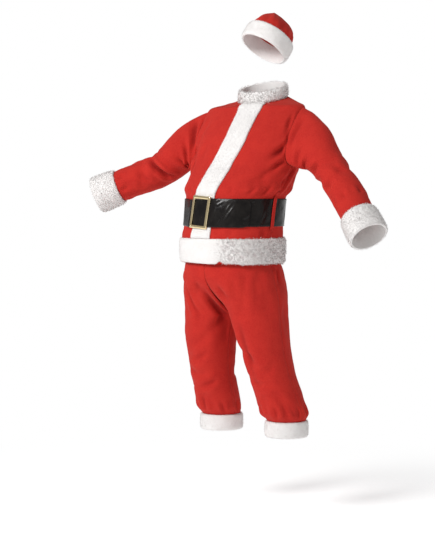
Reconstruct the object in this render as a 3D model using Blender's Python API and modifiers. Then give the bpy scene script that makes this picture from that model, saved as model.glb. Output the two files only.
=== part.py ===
"""A santa suit, worn and empty: jacket with fur bands, belt, trousers and hat, in one rigid body.

Metres, +Z up. The origin is the base of the wearer's neck, -Y is the front, +X the wearer's left.
Cloth is a thin wall through sections of the garment; a fur band is a thicker wall made from the
points of what it lies on, moved out.
"""
import math

import bpy
import numpy as np

# ---------------------------------------------------------------- driving sizes
CLOTH = 0.0022  # plush cloth
FUR = 0.012  # how far the pile stands off its backing
STRAP = 0.0025  # belt
GAP = 0.0003  # between two pieces that meet
BAND_HALF = 0.047  # half the width of the front band
PRESSED = 0.3  # share of the pile left under the belt
BAND_SHORT = (0.02, 0.80)  # shares of its first and last row by which the band stops short
COLLAR_RISE = 0.042
COLLAR_LEAN = 0.12  # inwards, for each metre up
CUFF_LENGTH = 0.095
CUFF_FLARE = 0.06  # by which a sleeve cuff's mouth is wider than its seam
LEG_CUFF_LENGTH = 0.058
WAISTBAND = 0.035
BUCKLE_WIDE, BUCKLE_TALL, BUCKLE_BAR, BUCKLE_THICK = 0.088, 0.116, 0.011, 0.006
BUCKLE_CORNER = 0.0065  # radius of the bars' middle line at a corner
BUCKLE_BOW = 0.30  # radius to which the frame is bowed
BUCKLE_REST = 0.0030  # its back over the two layers of strap
# The bar's section: across it in half widths, and out from its back in thicknesses.
BUCKLE_SECTION = ((1, 0.0), (1, 0.6), (0.6, 1.0), (-0.6, 1.0), (-1, 0.6), (-1, 0.0))
BELT_REST = 0.0008  # the strap over the jacket
BAND_EDGE, BAND_EASE = 0.34, 0.03  # radians from the front where the strap leaves the band
BAND_OVER = FUR * PRESSED + 0.0006  # the strap over the pressed band
LAP_START, LAP_EASE = 0.42, 0.05  # radians before the buckle where the second layer starts
LAP_OVER = STRAP + 0.0012  # the second layer over the first
BELT_END = 58.5  # degrees past the buckle at which the strap's free end lies
TIP_LENGTH, TIP_HALF = 0.16, 0.55  # the rounded end, in radians, and its share of the width
BELT_KEPT = 0.995  # share of the way between the belt's two stations that the strap takes
LOOP_WIDTH = 0.012
LOOP_CLOTH = 0.0018
LOOP_OVER = STRAP + 0.0020  # a loop's inner face over the strap's
TORSO_RADIUS, SLEEVE_RADIUS, LEG_RADIUS = 0.19, 0.062, 0.09  # to unroll the cloth for folds
SLEEVE_OFF = 0.0006  # between a sleeve's first ring and the armhole
# Half the angle in degrees by which the cloth turns at a seam, below and above the underarm,
# and at the trousers' inner and side seams.
BODY_TURN, SHOULDER_TURN, INNER_TURN, SIDE_TURN = 8, 26, 11, 17
CROTCH_START = 2.2  # trouser station where the seat begins to part into legs
CROTCH = 7.0  # trouser station of the crotch
PARTING = 2.0  # how late the seat parts

RED, WHITE = (0.50, 0.022, 0.018), (0.86, 0.83, 0.80)
BLACK, GOLD = (0.012, 0.011, 0.011), (0.83, 0.58, 0.22)

# ---------------------------------------------------------------- tables
# Jacket stations, hem to neck: height, half width, depth to the front and back of the centre,
# centre, turn in degrees, how much lower the front is, how square the ring is, and the degrees
# by which the front band's middle lies to the left.
JACKET_COLUMNS = ("z", "half", "front", "back", "x", "y", "turn", "dip", "power", "band")
JACKET = (
    (-0.585, 0.186, 0.161, 0.154, 0.0, -0.095, -3, 0.000, 2.3, 0),  # hem
    (-0.498, 0.189, 0.164, 0.152, 0.0, -0.092, -3, 0.000, 2.3, 0),  # top of the hem band
    (-0.455, 0.187, 0.158, 0.150, 0.0, -0.088, -3, 0.000, 2.3, 0),  # lower edge of the belt
    (-0.357, 0.188, 0.161, 0.146, 0.0, -0.074, -2, 0.000, 2.3, 0),  # upper edge of the belt
    (-0.320, 0.204, 0.172, 0.152, 0.0, -0.060, 0, 0.000, 2.3, 1.5),  # bloused over the belt
    (-0.275, 0.208, 0.166, 0.146, 0.0, -0.040, 2, 0.000, 2.3, 3),  # chest
    (-0.237, 0.211, 0.156, 0.136, 0.0, -0.022, 3, 0.000, 2.3, 3.5),  # underarm
    (-0.130, 0.214, 0.130, 0.110, 0.0, 0.004, 6, 0.000, 2.3, 8),  # upper chest
    (-0.030, 0.203, 0.084, 0.084, 0.004, 0.030, 8, 0.004, 2.1, 7.5),  # shoulder point
    (0.002, 0.152, 0.080, 0.074, 0.012, 0.042, 8, 0.024, 2.0, 7),  # mid shoulder
    (0.030, 0.088, 0.074, 0.066, 0.018, 0.052, 8, 0.046, 2.0, 7),  # neckline
)
JACKET_ROWS = (3, 1, 2, 1, 1, 1)  # mesh rows between the stations up to the underarm
HEM, HEM_TOP, BELT_LOW, BELT_TOP, UNDERARM, SHOULDER, NECK = 0, 1, 2, 3, 6, 8, 10
ARMHOLE_ROWS = 9
SHOULDER_ROWS = 4
ARMHOLE_HALF = (0.36, 0.40)  # half the armhole's opening in radians, to the front and back
BAND_COLUMNS, FRONT_COLUMNS, BACK_COLUMNS = 2, 6, 14

# Sleeve stations from the armhole: centre of the section and its half height and half depth.
SLEEVE_COLUMNS = ("x", "y", "z", "high", "deep")
SLEEVE_LEFT = (
    (0.206, 0.010, -0.150, 0.092, 0.062),  # armhole
    (0.282, 0.024, -0.172, 0.078, 0.067),
    (0.346, 0.020, -0.240, 0.062, 0.062),
    (0.400, 0.010, -0.292, 0.060, 0.061),  # elbow
    (0.456, -0.002, -0.350, 0.060, 0.060),
    (0.512, -0.020, -0.414, 0.058, 0.058),  # cuff seam
)
SLEEVE_RIGHT = (
    (-0.206, -0.030, -0.150, 0.092, 0.062),
    (-0.270, -0.042, -0.162, 0.080, 0.068),
    (-0.326, -0.066, -0.214, 0.069, 0.066),
    (-0.378, -0.086, -0.250, 0.065, 0.063),
    (-0.438, -0.122, -0.278, 0.062, 0.061),
    (-0.512, -0.170, -0.312, 0.058, 0.058),
)
SLEEVE_STEPS = 17
BLEND_STATIONS = 2.0  # over which a sleeve goes from the armhole's shape to its own

# Trouser stations, waist to cuff, for the seat (one ring) and for each leg.
SEAT_COLUMNS = ("z", "half", "front", "back", "x", "y", "power")
SEAT = (
    (-0.440, 0.158, 0.128, 0.122, 0.0, -0.088, 2.2),  # waist
    (-0.510, 0.168, 0.140, 0.134, 0.0, -0.090, 2.2),
    (-0.575, 0.176, 0.146, 0.1428, 0.0, -0.092, 2.3),  # inside the jacket's hem
    (-0.622, 0.190, 0.158, 0.158, 0.0, -0.090, 2.2),
    (-0.660, 0.196, 0.165, 0.162, 0.0, -0.088, 2.2),
    (-0.700, 0.204, 0.168, 0.163, 0.0, -0.084, 2.2),
    (-0.740, 0.207, 0.169, 0.162, 0.0, -0.080, 2.2),
    (-0.775, 0.205, 0.168, 0.160, 0.0, -0.077, 2.2),  # crotch
)
LEG_COLUMNS = ("z", "x", "y", "half", "deep")
LEG_LEFT = (
    (-0.775, 0.1024, -0.068, 0.1016, 0.112),  # crotch
    (-0.850, 0.115, -0.058, 0.091, 0.103),
    (-0.925, 0.125, -0.044, 0.083, 0.094),
    (-1.000, 0.135, -0.024, 0.081, 0.090),  # knee
    (-1.065, 0.142, -0.002, 0.084, 0.090),
    (-1.125, 0.151, 0.018, 0.085, 0.090),  # bloused over the cuff
    (-1.158, 0.154, 0.027, 0.069, 0.071),  # cuff seam
)
LEG_RIGHT = (
    (-0.775, -0.1024, -0.088, 0.1016, 0.112),
    (-0.850, -0.113, -0.086, 0.092, 0.101),
    (-0.925, -0.119, -0.078, 0.085, 0.092),
    (-1.000, -0.128, -0.060, 0.080, 0.085),
    (-1.065, -0.136, -0.036, 0.082, 0.086),
    (-1.125, -0.145, -0.010, 0.080, 0.084),
    (-1.158, -0.147, 0.006, 0.070, 0.072),
)
LEG_PANEL_COLUMNS = 8
SEAT_STEPS, LEG_STEPS = 10, 12

# Hat sections in the plane in which its tail folds: the side under the fold, the side over it,
# each as (out, up) from the middle of the opening, and the half width across.
HAT_CROWN = (
    (0.090, 0.000, -0.090, 0.000, 0.084),
    (0.090, 0.024, -0.080, 0.026, 0.077),
    (0.091, 0.044, -0.054, 0.052, 0.067),
    (0.095, 0.052, -0.006, 0.074, 0.058),
    (0.101, 0.048, 0.070, 0.080, 0.050),
    (0.108, 0.032, 0.122, 0.056, 0.038),
    (0.115, 0.006, 0.139, 0.014, 0.029),
    (0.119, -0.022, 0.136, -0.018, 0.018),
    (0.122, -0.046, 0.131, -0.044, 0.008),
)
HAT_PEAK, HAT_PEAK_REACH = 3.4, 2.0  # station at which the fold stands up in a peak
HAT_PINCH, HAT_LEAN, HAT_RAISE = 1.2, 0.036, 0.006  # how sharp, how far forward, how much higher
HAT_AROUND = 20
HAT_STEPS = 12
HAT_PLACE = (0.017, 0.098, 0.241)
HAT_TILT = 34.0  # degrees, front up
HAT_TURN = -20.0  # degrees, the face turned to the wearer's right
HAT_FOLD = 152.0  # degrees from +X, the way the tail falls
BRIM_HIGH, BRIM_FUR = 0.062, 0.014

# Folds, as segments on the unrolled cloth: from and to (angle in degrees, distance), half
# width and depth of the trough; a negative depth is a ridge. Angle 0 is the front centre.
JACKET_FOLDS = (
    (68, -0.246, 50, -0.296, 0.018, 0.007),  # from the left underarm to the belly
    (70, -0.328, 60, -0.290, 0.016, 0.006),
    (104, -0.328, 112, -0.285, 0.017, 0.006),
    (140, -0.328, 134, -0.280, 0.018, 0.007),
    (180, -0.328, 176, -0.250, 0.020, 0.006),
    (222, -0.328, 230, -0.285, 0.018, 0.007),
    (262, -0.328, 254, -0.290, 0.016, 0.006),
    (296, -0.328, 302, -0.295, 0.017, 0.006),
    (292, -0.246, 310, -0.300, 0.018, 0.007),
    (128, -0.120, 150, -0.235, 0.022, 0.007),
    (232, -0.120, 212, -0.235, 0.022, 0.007),
    (318, -0.090, 308, -0.200, 0.020, 0.006),
)
SLEEVE_FOLDS_LEFT = (  # angle 0 is the underside, 90 the front; distance along the sleeve
    (30, 0.080, 95, 0.115, 0.017, 0.006),
    (310, 0.085, 265, 0.120, 0.018, 0.005),
    (40, 0.170, 150, 0.215, 0.016, 0.006),
    (0, 0.205, 60, 0.235, 0.015, 0.007),
    (210, 0.250, 320, 0.215, 0.016, 0.006),
    (70, 0.290, 150, 0.265, 0.015, 0.005),
)
SLEEVE_FOLDS_RIGHT = (
    (30, 0.075, 90, 0.100, 0.017, 0.006),
    (310, 0.085, 265, 0.120, 0.018, 0.005),
    (30, 0.155, 165, 0.205, 0.016, 0.009),
    (10, 0.215, 80, 0.235, 0.015, 0.006),
    (200, 0.240, 310, 0.205, 0.016, 0.006),
    (60, 0.300, 140, 0.275, 0.015, 0.005),
)
LEG_FOLDS_LEFT = (  # angle 0 is the inner side, 90 the front, 180 the outer side; height
    (100, -0.640, 95, -0.760, 0.020, 0.008),
    (140, -0.630, 150, -0.740, 0.020, 0.006),
    (35, -0.880, 105, -0.960, 0.018, 0.007),
    (120, -1.010, 60, -1.045, 0.016, 0.006),
    (250, -0.960, 330, -1.010, 0.018, 0.007),
    (160, -1.125, 130, -1.060, 0.017, 0.006),
    (80, -1.130, 92, -1.075, 0.016, 0.006),
    (300, -1.130, 285, -1.070, 0.017, 0.006),
    (225, -1.130, 232, -1.080, 0.016, 0.005),
)
LEG_FOLDS_RIGHT = (
    (110, -0.620, 105, -0.780, 0.018, 0.008),
    (135, -0.620, 130, -0.800, 0.016, 0.007),
    (60, -0.860, 120, -0.930, 0.018, 0.007),
    (70, -1.000, 130, -1.040, 0.016, 0.006),
    (240, -0.950, 320, -1.000, 0.018, 0.007),
    (150, -1.130, 140, -1.070, 0.016, 0.006),
    (60, -1.130, 75, -1.080, 0.016, 0.005),
    (290, -1.130, 275, -1.075, 0.017, 0.006),
)


# A belt loop, from below the belt to above it: stations past the belt's edge or middle, and
# how far it stands off the jacket, or None where it stands over the strap.
LOOP_PATH = (
    (-0.42, 0.0005),
    (-0.16, 0.0010),
    (-0.03, None),
    (0.50, None),
    (1.05, None),
    (1.30, 0.0010),
    (1.62, 0.0005),
)


# ---------------------------------------------------------------- reading the tables
def between(rows, place):
    """The row of a table at a place between its stations, with no overshoot."""
    rows = np.asarray(rows, float)
    steps = np.diff(rows, axis=0)
    slopes = np.vstack([steps[:1], np.zeros((len(rows) - 2, rows.shape[1])), steps[-1:]])
    before, after = steps[:-1], steps[1:]
    same = before * after > 0
    total = np.where(same, before + after, 1)
    slopes[1:-1] = np.where(same, 2 * before * after / total, 0)
    i = min(int(place), len(rows) - 2)
    t = place - i
    ease = t * t * (3 - 2 * t)
    return (
        rows[i] * (1 - ease)
        + rows[i + 1] * ease
        + slopes[i] * (t**3 - 2 * t * t + t)
        + slopes[i + 1] * (t**3 - t * t)
    )


def station(rows, columns, place):
    """A table's values at a place, by their names."""
    return dict(zip(columns, between(rows, place)))


def signed_power(value, power):
    return math.copysign(abs(value) ** power, value)


def trough(folds, around, along, radius):
    """How far the cloth is pushed in at a place, from the folds near it."""
    depth = 0.0
    for start_angle, start, end_angle, end, half_width, deep in folds:
        turn = (around - start_angle + 180) % 360 - 180
        span = (end_angle - start_angle + 180) % 360 - 180
        here = np.array([math.radians(turn) * radius, along - start])
        line = np.array([math.radians(span) * radius, end - start])
        t = float(np.clip(here @ line / (line @ line), 0, 1))
        away = np.linalg.norm(here - t * line) / half_width
        depth += deep * math.exp(-away * away)
    return depth


def normals_of(grid, closed):
    """The outward direction at each point of a grid whose rows run up and columns run round."""
    if closed:
        across = np.roll(grid, -1, axis=1) - np.roll(grid, 1, axis=1)
    else:
        across = np.gradient(grid, axis=1)
    out = np.cross(across, np.gradient(grid, axis=0))
    return out / np.linalg.norm(out, axis=2, keepdims=True)


# ---------------------------------------------------------------- jacket surface
def jacket_point(place, angle):
    """The jacket at a station and an angle in radians, 0 at the front and 90 degrees at its left."""
    s = station(JACKET, JACKET_COLUMNS, place)
    sine, cosine = math.sin(angle), math.cos(angle)
    deep = s["front"] if cosine > 0 else s["back"]
    z = s["z"] - s["dip"] * (1 + cosine) / 2
    push = trough(JACKET_FOLDS, math.degrees(angle), s["z"], TORSO_RADIUS)
    x = (s["half"] - push) * signed_power(sine, 2 / s["power"])
    y = -(deep - push) * signed_power(cosine, 2 / s["power"])
    turn = math.radians(s["turn"])
    return (
        s["x"] + x * math.cos(turn) - y * math.sin(turn),
        s["y"] + x * math.sin(turn) + y * math.cos(turn),
        z,
    )


def jacket_places():
    """The stations of the mesh's rows; round the armhole they are spaced as round an ellipse."""
    places = []
    for i, rows in enumerate(JACKET_ROWS):
        places += [i + k / rows for k in range(rows)]
    middle, half = (UNDERARM + SHOULDER) / 2, (SHOULDER - UNDERARM) / 2
    steps = range(ARMHOLE_ROWS)
    places += [middle - half * math.cos(math.pi * k / ARMHOLE_ROWS) for k in steps]
    steps = range(SHOULDER_ROWS + 1)
    places += [SHOULDER + (NECK - SHOULDER) * k / SHOULDER_ROWS for k in steps]
    return places


def jacket_skin(place, angle, height):
    """A point over the jacket's mesh, which is straight between its rows, and raised off it."""
    places = jacket_places()
    i = min(int(np.searchsorted(places, place, "right")) - 1, len(places) - 2)
    share = (place - places[i]) / (places[i + 1] - places[i])
    low, high = (np.array(jacket_point(places[k], angle)) for k in (i, i + 1))
    low_side, high_side = (np.array(jacket_point(places[k], angle + 0.01)) for k in (i, i + 1))
    point = low * (1 - share) + high * share
    out = np.cross(low_side * (1 - share) + high_side * share - point, high - low)
    return point + out / np.linalg.norm(out) * height


def armhole_half(place, side):
    """Half the armhole's opening at a row, in radians; side 0 is to the front, 1 to the back."""
    middle, half = (UNDERARM + SHOULDER) / 2, (SHOULDER - UNDERARM) / 2
    reach = 1 - ((place - middle) / half) ** 2
    return ARMHOLE_HALF[side] * math.sqrt(max(reach, 0))


def drawn_back(half_turn):
    """How far an edge stops short of its seam, so that the inner faces stay a gap apart.

    half_turn is half the angle in degrees by which the cloth turns from a column to the next.
    """
    return GAP / 2 + CLOTH * math.sin(math.radians(half_turn))


def seam(angle, grow, place):
    """A jacket panel's edge, drawn back from its seam; the cloth turns sharply at the shoulder."""
    half_turn = BODY_TURN if place <= UNDERARM else SHOULDER_TURN
    return angle + grow * drawn_back(half_turn) / TORSO_RADIUS


def front_angles(place, side):
    """Angles of a front's columns, counted to its own side: over half the band, then onward."""
    s = station(JACKET, JACKET_COLUMNS, place)
    middle = side * math.radians(s["band"])
    band = math.asin((BAND_HALF / s["half"]) ** (s["power"] / 2))
    edge = seam(math.pi / 2 - armhole_half(place, 0), -1, place)
    inner = [middle + band * k / BAND_COLUMNS for k in range(1, BAND_COLUMNS)]
    outer = np.linspace(middle + band, edge, FRONT_COLUMNS + 1)
    return [seam(middle, 1, HEM)] + inner + list(outer)


def jacket_grids():
    """Point grids of the left front, back and right front, columns running round to the left."""
    left, back, right = [], [], []
    for place in jacket_places():
        left.append([jacket_point(place, a) for a in front_angles(place, 1)])
        turned = [2 * math.pi - a for a in reversed(front_angles(place, -1))]
        right.append([jacket_point(place, a) for a in turned])
        edge = seam(math.pi / 2 + armhole_half(place, 1), 1, place)
        back_angles = np.linspace(edge, 2 * math.pi - edge, BACK_COLUMNS + 1)
        back.append([jacket_point(place, a) for a in back_angles])
    return np.array(left), np.array(back), np.array(right)


def row_of(station_number):
    return jacket_places().index(station_number)


# ---------------------------------------------------------------- making solids
def material(name, colour, rough, metal=0.0):
    made = bpy.data.materials.new(name)
    made.use_nodes = True
    shader = made.node_tree.nodes["Principled BSDF"]
    shader.inputs["Base Color"].default_value = (*colour, 1)
    shader.inputs["Roughness"].default_value = rough
    shader.inputs["Metallic"].default_value = metal
    return made


def faces_of(rows, columns, closed):
    """Triangles over a grid of points, every cell cut along the same diagonal."""
    faces = []
    for i in range(rows - 1):
        for j in range(columns if closed else columns - 1):
            k = (j + 1) % columns
            a, b = i * columns + j, i * columns + k
            c, d = b + columns, a + columns
            faces += [(a, b, c), (a, c, d)]
    return faces


def wall(name, grid, finish, thickness, closed=False, outward=False, share=None, cap=False):
    """A wall of cloth or fur over a grid of points, whose rows run up and columns run round.

    The grid is the wall's outer face, or with outward its inner one. share, of the grid's shape,
    scales the thickness at each point. cap closes the last row with a fan.
    """
    grid = np.asarray(grid, float)
    rows, columns = grid.shape[:2]
    points = [tuple(p) for p in grid.reshape(-1, 3)]
    faces = faces_of(rows, columns, closed)
    if cap:
        first = (rows - 1) * columns
        points.append(tuple(grid[-1].mean(axis=0)))
        ring = range(columns)
        faces += [(first + j, first + (j + 1) % columns, len(points) - 1) for j in ring]
    mesh = bpy.data.meshes.new(name)
    mesh.from_pydata(points, [], faces)
    mesh.materials.append(finish)
    made = bpy.data.objects.new(name, mesh)
    SUIT.objects.link(made)
    shell = made.modifiers.new("wall", "SOLIDIFY")
    shell.thickness = thickness
    shell.offset = 1 if outward else -1
    if share is not None:
        group = made.vertex_groups.new(name="pile")
        for i, weight in enumerate(np.asarray(share).ravel()):
            group.add([i], float(weight), "REPLACE")
        shell.vertex_group = group.name
    return made


def pile_share(count):
    """Thickness across a fur band: full in the middle, thin and rounded at both edges."""
    across = np.linspace(-1, 1, count)
    return 0.4 + 0.6 * np.sqrt(np.clip(1 - across**4, 0, 1))


def raised(grid, closed, height):
    return grid + normals_of(grid, closed) * height


# ---------------------------------------------------------------- jacket pieces
def jacket(cloth, fur):
    left, back, right = jacket_grids()
    wall("jacket_front_left", left, cloth, CLOTH)
    wall("jacket_back", back, cloth, CLOTH)
    wall("jacket_front_right", right, cloth, CLOTH)
    ring = np.concatenate([left[:, :-1], back[:, :-1], right], axis=1)
    front_band(fur, left, right)
    hem_band(fur, ring)
    collar(fur, ring[-1])


def front_band(fur, left, right):
    """The strip over both fronts' edges, from the hem band to the neckline."""
    bottom = row_of(HEM_TOP)
    both = np.concatenate(
        [
            right[:, -1 - BAND_COLUMNS : -1],
            (left[:, :1] + right[:, -1:]) / 2,
            left[:, 1 : BAND_COLUMNS + 1],
        ],
        axis=1,
    )[bottom:]
    both[0] += (both[1] - both[0]) * BAND_SHORT[0]
    both[-1] += (both[-2] - both[-1]) * BAND_SHORT[1]
    share = np.tile(pile_share(2 * BAND_COLUMNS + 1), (len(both), 1))
    low, high = row_of(BELT_LOW) - bottom, row_of(BELT_TOP) - bottom
    share[low : high + 1] *= PRESSED
    share[[0, -1]] *= 0.5
    wall("front_band", raised(both, False, GAP), fur, FUR, outward=True, share=share)


def hem_band(fur, ring):
    rows = raised(ring, True, GAP)[: row_of(HEM_TOP) + 1]
    share = np.tile(pile_share(len(rows))[:, None], (1, rows.shape[1]))
    wall("hem_band", rows, fur, FUR, closed=True, outward=True, share=share)


def collar(fur, neckline):
    """A strip that stands on the neckline, its ends meeting at the front."""
    rise = np.linspace(GAP, COLLAR_RISE, 4)
    middle = neckline.mean(axis=0)
    outward = (neckline - middle) * (1, 1, 0)
    outward /= np.linalg.norm(outward, axis=1, keepdims=True)
    rows = np.array([neckline + (0, 0, h) - outward * h * COLLAR_LEAN for h in rise])
    share = np.tile(pile_share(len(rows))[:, None], (1, rows.shape[1]))
    wall("collar", rows, fur, FUR, outward=True, share=share)


# ---------------------------------------------------------------- sleeves
def armhole_points(side):
    """The armhole's edge, from the underarm up its front and down its back."""
    rows = [p for p in jacket_places() if UNDERARM <= p <= SHOULDER]
    front = [(p, math.pi / 2 - armhole_half(p, 0)) for p in rows]
    rear = [(p, math.pi / 2 + armhole_half(p, 1)) for p in reversed(rows[1:-1])]
    turned = [(p, a if side > 0 else 2 * math.pi - a) for p, a in front + rear]
    return np.array([jacket_point(p, a) for p, a in turned])


def arm_axes(table, place, side):
    """The section's own axes at a place: along the arm, up and to the front."""
    step = 0.05
    last = len(table) - 1
    low, high = max(place - step, 0), min(place + step, last)
    along = (between(table, high) - between(table, low))[:3]
    along /= np.linalg.norm(along)
    up = np.array([0, 0, 1.0]) - along[2] * along
    up /= np.linalg.norm(up)
    return along, up, side * np.cross(along, up)


def sleeve_ring(table, place, side, folds, start):
    """One section of a sleeve; near the armhole it is drawn towards the armhole's own shape."""
    s = station(table, SLEEVE_COLUMNS, place)
    _, up, front = arm_axes(table, place, side)
    middle = np.array([s["x"], s["y"], s["z"]])
    first = np.array(table[0][:3])
    path = [between(table, p)[:3] for p in np.linspace(0, place, 12)]
    distance = float(np.linalg.norm(np.diff(path, axis=0), axis=1).sum())
    ease = min(place / BLEND_STATIONS, 1)
    ease = ease * ease * (3 - 2 * ease)
    ring = []
    for k, begin in enumerate(start):
        angle = 2 * math.pi * k / len(start)
        push = trough(folds, math.degrees(angle), distance, SLEEVE_RADIUS) * ease
        high, deep = s["high"] - push, s["deep"] - push
        own = middle - up * high * math.cos(angle) + front * deep * math.sin(angle)
        ring.append(own * ease + (begin + middle - first) * (1 - ease))
    return ring


def evenly(table, steps):
    """Places along a table whose centres lie the same distance apart."""
    fine = np.linspace(0, len(table) - 1, 200)
    path = np.array([between(table, p)[:3] for p in fine])
    along = np.concatenate([[0], np.cumsum(np.linalg.norm(np.diff(path, axis=0), axis=1))])
    return np.interp(np.linspace(0, along[-1], steps + 1), along, fine)


def sleeve(name, table, side, folds, cloth):
    start = armhole_points(side)
    start = start + np.array([side * SLEEVE_OFF, 0, 0])
    table = [tuple(start.mean(axis=0)) + table[0][3:]] + list(table[1:])
    places = evenly(table, SLEEVE_STEPS)
    grid = np.array([sleeve_ring(table, p, side, folds, start) for p in places])
    if side > 0:
        grid = grid[:, ::-1]
    wall(name, grid, cloth, CLOTH, closed=True)
    return grid, arm_axes(table, len(table) - 1, side)[0]


def cuff(name, ring, along, fur, rows=5):
    """A fur tube that goes on from the last ring of a sleeve."""
    middle = ring.mean(axis=0)
    grid = []
    for out in np.linspace(GAP, CUFF_LENGTH, rows):
        wider = 1 + CUFF_FLARE * out / CUFF_LENGTH
        grid.append(middle + (ring - middle) * wider + along * out)
    share = np.tile(pile_share(rows)[:, None], (1, len(ring)))
    wall(name, grid, fur, FUR, closed=True, outward=True, share=share)


# ---------------------------------------------------------------- belt
def belt_lift(angle):
    """How far the strap stands off the jacket: over the pressed band at the front."""
    turn = abs((angle + math.pi) % (2 * math.pi) - math.pi)
    over = 1 / (1 + math.exp((turn - BAND_EDGE) / BAND_EASE))
    return BELT_REST + over * BAND_OVER


def belt(strap):
    """One strap round the waist whose free end comes round again and lies on its start."""
    ring_angles = front_angles(BELT_LOW, 1)[1:]
    edge = math.pi / 2
    back_angles = list(np.linspace(edge, 2 * math.pi - edge, BACK_COLUMNS + 1))
    angles = [0.0] + ring_angles[:-1] + back_angles
    angles += [2 * math.pi - a for a in reversed(ring_angles[:-1])] + [2 * math.pi]
    angles += [2 * math.pi + a for a in [*ring_angles[:5], math.radians(BELT_END)]]
    middle, half = (BELT_LOW + BELT_TOP) / 2, (BELT_TOP - BELT_LOW) / 2 * BELT_KEPT
    grid = []
    for up in (-half, 0, half):
        row = []
        for angle in angles:
            second = 1 / (1 + math.exp((2 * math.pi - LAP_START - angle) / LAP_EASE))
            left = min((angles[-1] - angle) / TIP_LENGTH, 1)
            tip = TIP_HALF + (1 - TIP_HALF) * math.sqrt(1 - (1 - left) ** 2)
            height = belt_lift(angle) + second * LAP_OVER
            row.append(jacket_skin(middle + up * tip, angle, height))
        grid.append(row)
    wall("belt", grid, strap, STRAP, outward=True)


def buckle(metal):
    """A rectangular frame, a little bowed, lying on the strap."""
    half_wide, half_tall = (BUCKLE_WIDE - BUCKLE_BAR) / 2, (BUCKLE_TALL - BUCKLE_BAR) / 2
    corner = BUCKLE_CORNER
    path = []
    for quarter, (sx, sz) in enumerate([(1, -1), (1, 1), (-1, 1), (-1, -1)]):
        for k in range(3):
            turn = math.radians(-90 + 90 * quarter + 45 * k)
            x = sx * (half_wide - corner) + corner * math.cos(turn)
            z = sz * (half_tall - corner) + corner * math.sin(turn)
            path.append((x, z, math.cos(turn), math.sin(turn)))
    grid = []
    for side, lift in BUCKLE_SECTION:
        row = []
        for x, z, away_x, away_z in path:
            px = x + away_x * side * BUCKLE_BAR / 2
            pz = z + away_z * side * BUCKLE_BAR / 2
            row.append(buckle_place(px, pz, lift * BUCKLE_THICK))
        grid.append(row)
    grid = np.array(grid)
    rows, columns = grid.shape[:2]
    closed = np.concatenate([grid, grid[:1]])
    faces = [
        tuple(i % (rows * columns) for i in face)
        for face in faces_of(len(closed), columns, True)
    ]
    mesh = bpy.data.meshes.new("buckle")
    mesh.from_pydata([tuple(p) for p in grid.reshape(-1, 3)], [], faces)
    mesh.materials.append(metal)
    SUIT.objects.link(bpy.data.objects.new("buckle", mesh))


def buckle_place(x, z, lift):
    """A point of the buckle, which stands in front of the belt's centre and leans with it."""
    low = np.array(jacket_point(BELT_LOW, 0.0))
    high = np.array(jacket_point(BELT_TOP, 0.0))
    middle, up = (low + high) / 2, (high - low) / np.linalg.norm(high - low)
    belt_middle = (BELT_LOW + BELT_TOP) / 2
    turn = math.radians(station(JACKET, JACKET_COLUMNS, belt_middle)["turn"])
    across = np.array([math.cos(turn), math.sin(turn), 0])
    out = np.cross(across, up)
    rest = belt_lift(0.0) + 2 * STRAP + BUCKLE_REST
    bow = x * x / (2 * BUCKLE_BOW)
    return tuple(middle + across * x + up * z + out * (rest + lift - bow))


def belt_loop(name, angle, cloth):
    """A narrow strip that holds the belt at a side seam, over it from above to below."""
    half = LOOP_WIDTH / 2 / TORSO_RADIUS
    grid = []
    for place, height in LOOP_PATH:
        lift = belt_lift(angle) + LOOP_OVER if height is None else height
        edges = (angle - half, angle + half)
        grid.append([jacket_skin(BELT_LOW + place, a, lift) for a in edges])
    wall(name, grid, cloth, LOOP_CLOTH, outward=True)


# ---------------------------------------------------------------- trousers
def seat_point(place, share, side, rear):
    """The seat at a station; share runs from the centre seam, 0, to the side seam, 1."""
    s = station(SEAT, SEAT_COLUMNS, place)
    angle = share * math.pi / 2
    deep = -s["front"] if rear < 0 else s["back"]
    x = s["half"] * signed_power(math.sin(angle), 2 / s["power"])
    y = deep * signed_power(math.cos(angle), 2 / s["power"])
    return np.array([s["x"] + side * x, s["y"] + y, s["z"]])


def leg_point(table, place, share, side, rear):
    """A leg at a station; share runs from the inner seam, 0, to the side seam, 1."""
    s = station(table, LEG_COLUMNS, place)
    angle = share * math.pi
    x = s["x"] - side * s["half"] * math.cos(angle)
    y = s["y"] + rear * s["deep"] * math.sin(angle)
    return np.array([x, y, s["z"]])


def trouser_panel(table, side, rear, folds):
    """Grid of one panel, waist to cuff; it parts from the seat's ring into the leg's."""
    rows = []
    seat = [CROTCH * k / SEAT_STEPS for k in range(SEAT_STEPS)]
    leg = [(len(table) - 1) * k / LEG_STEPS for k in range(LEG_STEPS + 1)]
    for number, place in enumerate(seat + leg):
        row = []
        for share in np.linspace(0, 1, LEG_PANEL_COLUMNS + 1):
            if number < SEAT_STEPS:
                parted = max((place - CROTCH_START) / (CROTCH - CROTCH_START), 0) ** PARTING
                own = seat_point(place, share, side, rear)
                split = leg_point(table, 0, share, side, rear)
                point = own * (1 - parted) + split * parted
                point[2] = own[2]
            else:
                point = leg_point(table, place, share, side, rear)
            turn = 180 * share if rear < 0 else 360 - 180 * share
            push = trough(folds, turn, point[2], LEG_RADIUS)
            middle = leg_centre(table, point[2])
            inward = (middle - point) * (1, 1, 0)
            point = point + inward / np.linalg.norm(inward) * push * min(4 * share, 1)
            if share == 0:
                away = (side, 0, 0) if number < SEAT_STEPS else (0, rear, 0)
                point = point + np.array(away) * drawn_back(INNER_TURN)
            if share == 1:
                point = point + np.array((0, rear, 0)) * drawn_back(SIDE_TURN)
            row.append(point)
        rows.append(row)
    return np.array(rows)


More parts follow.
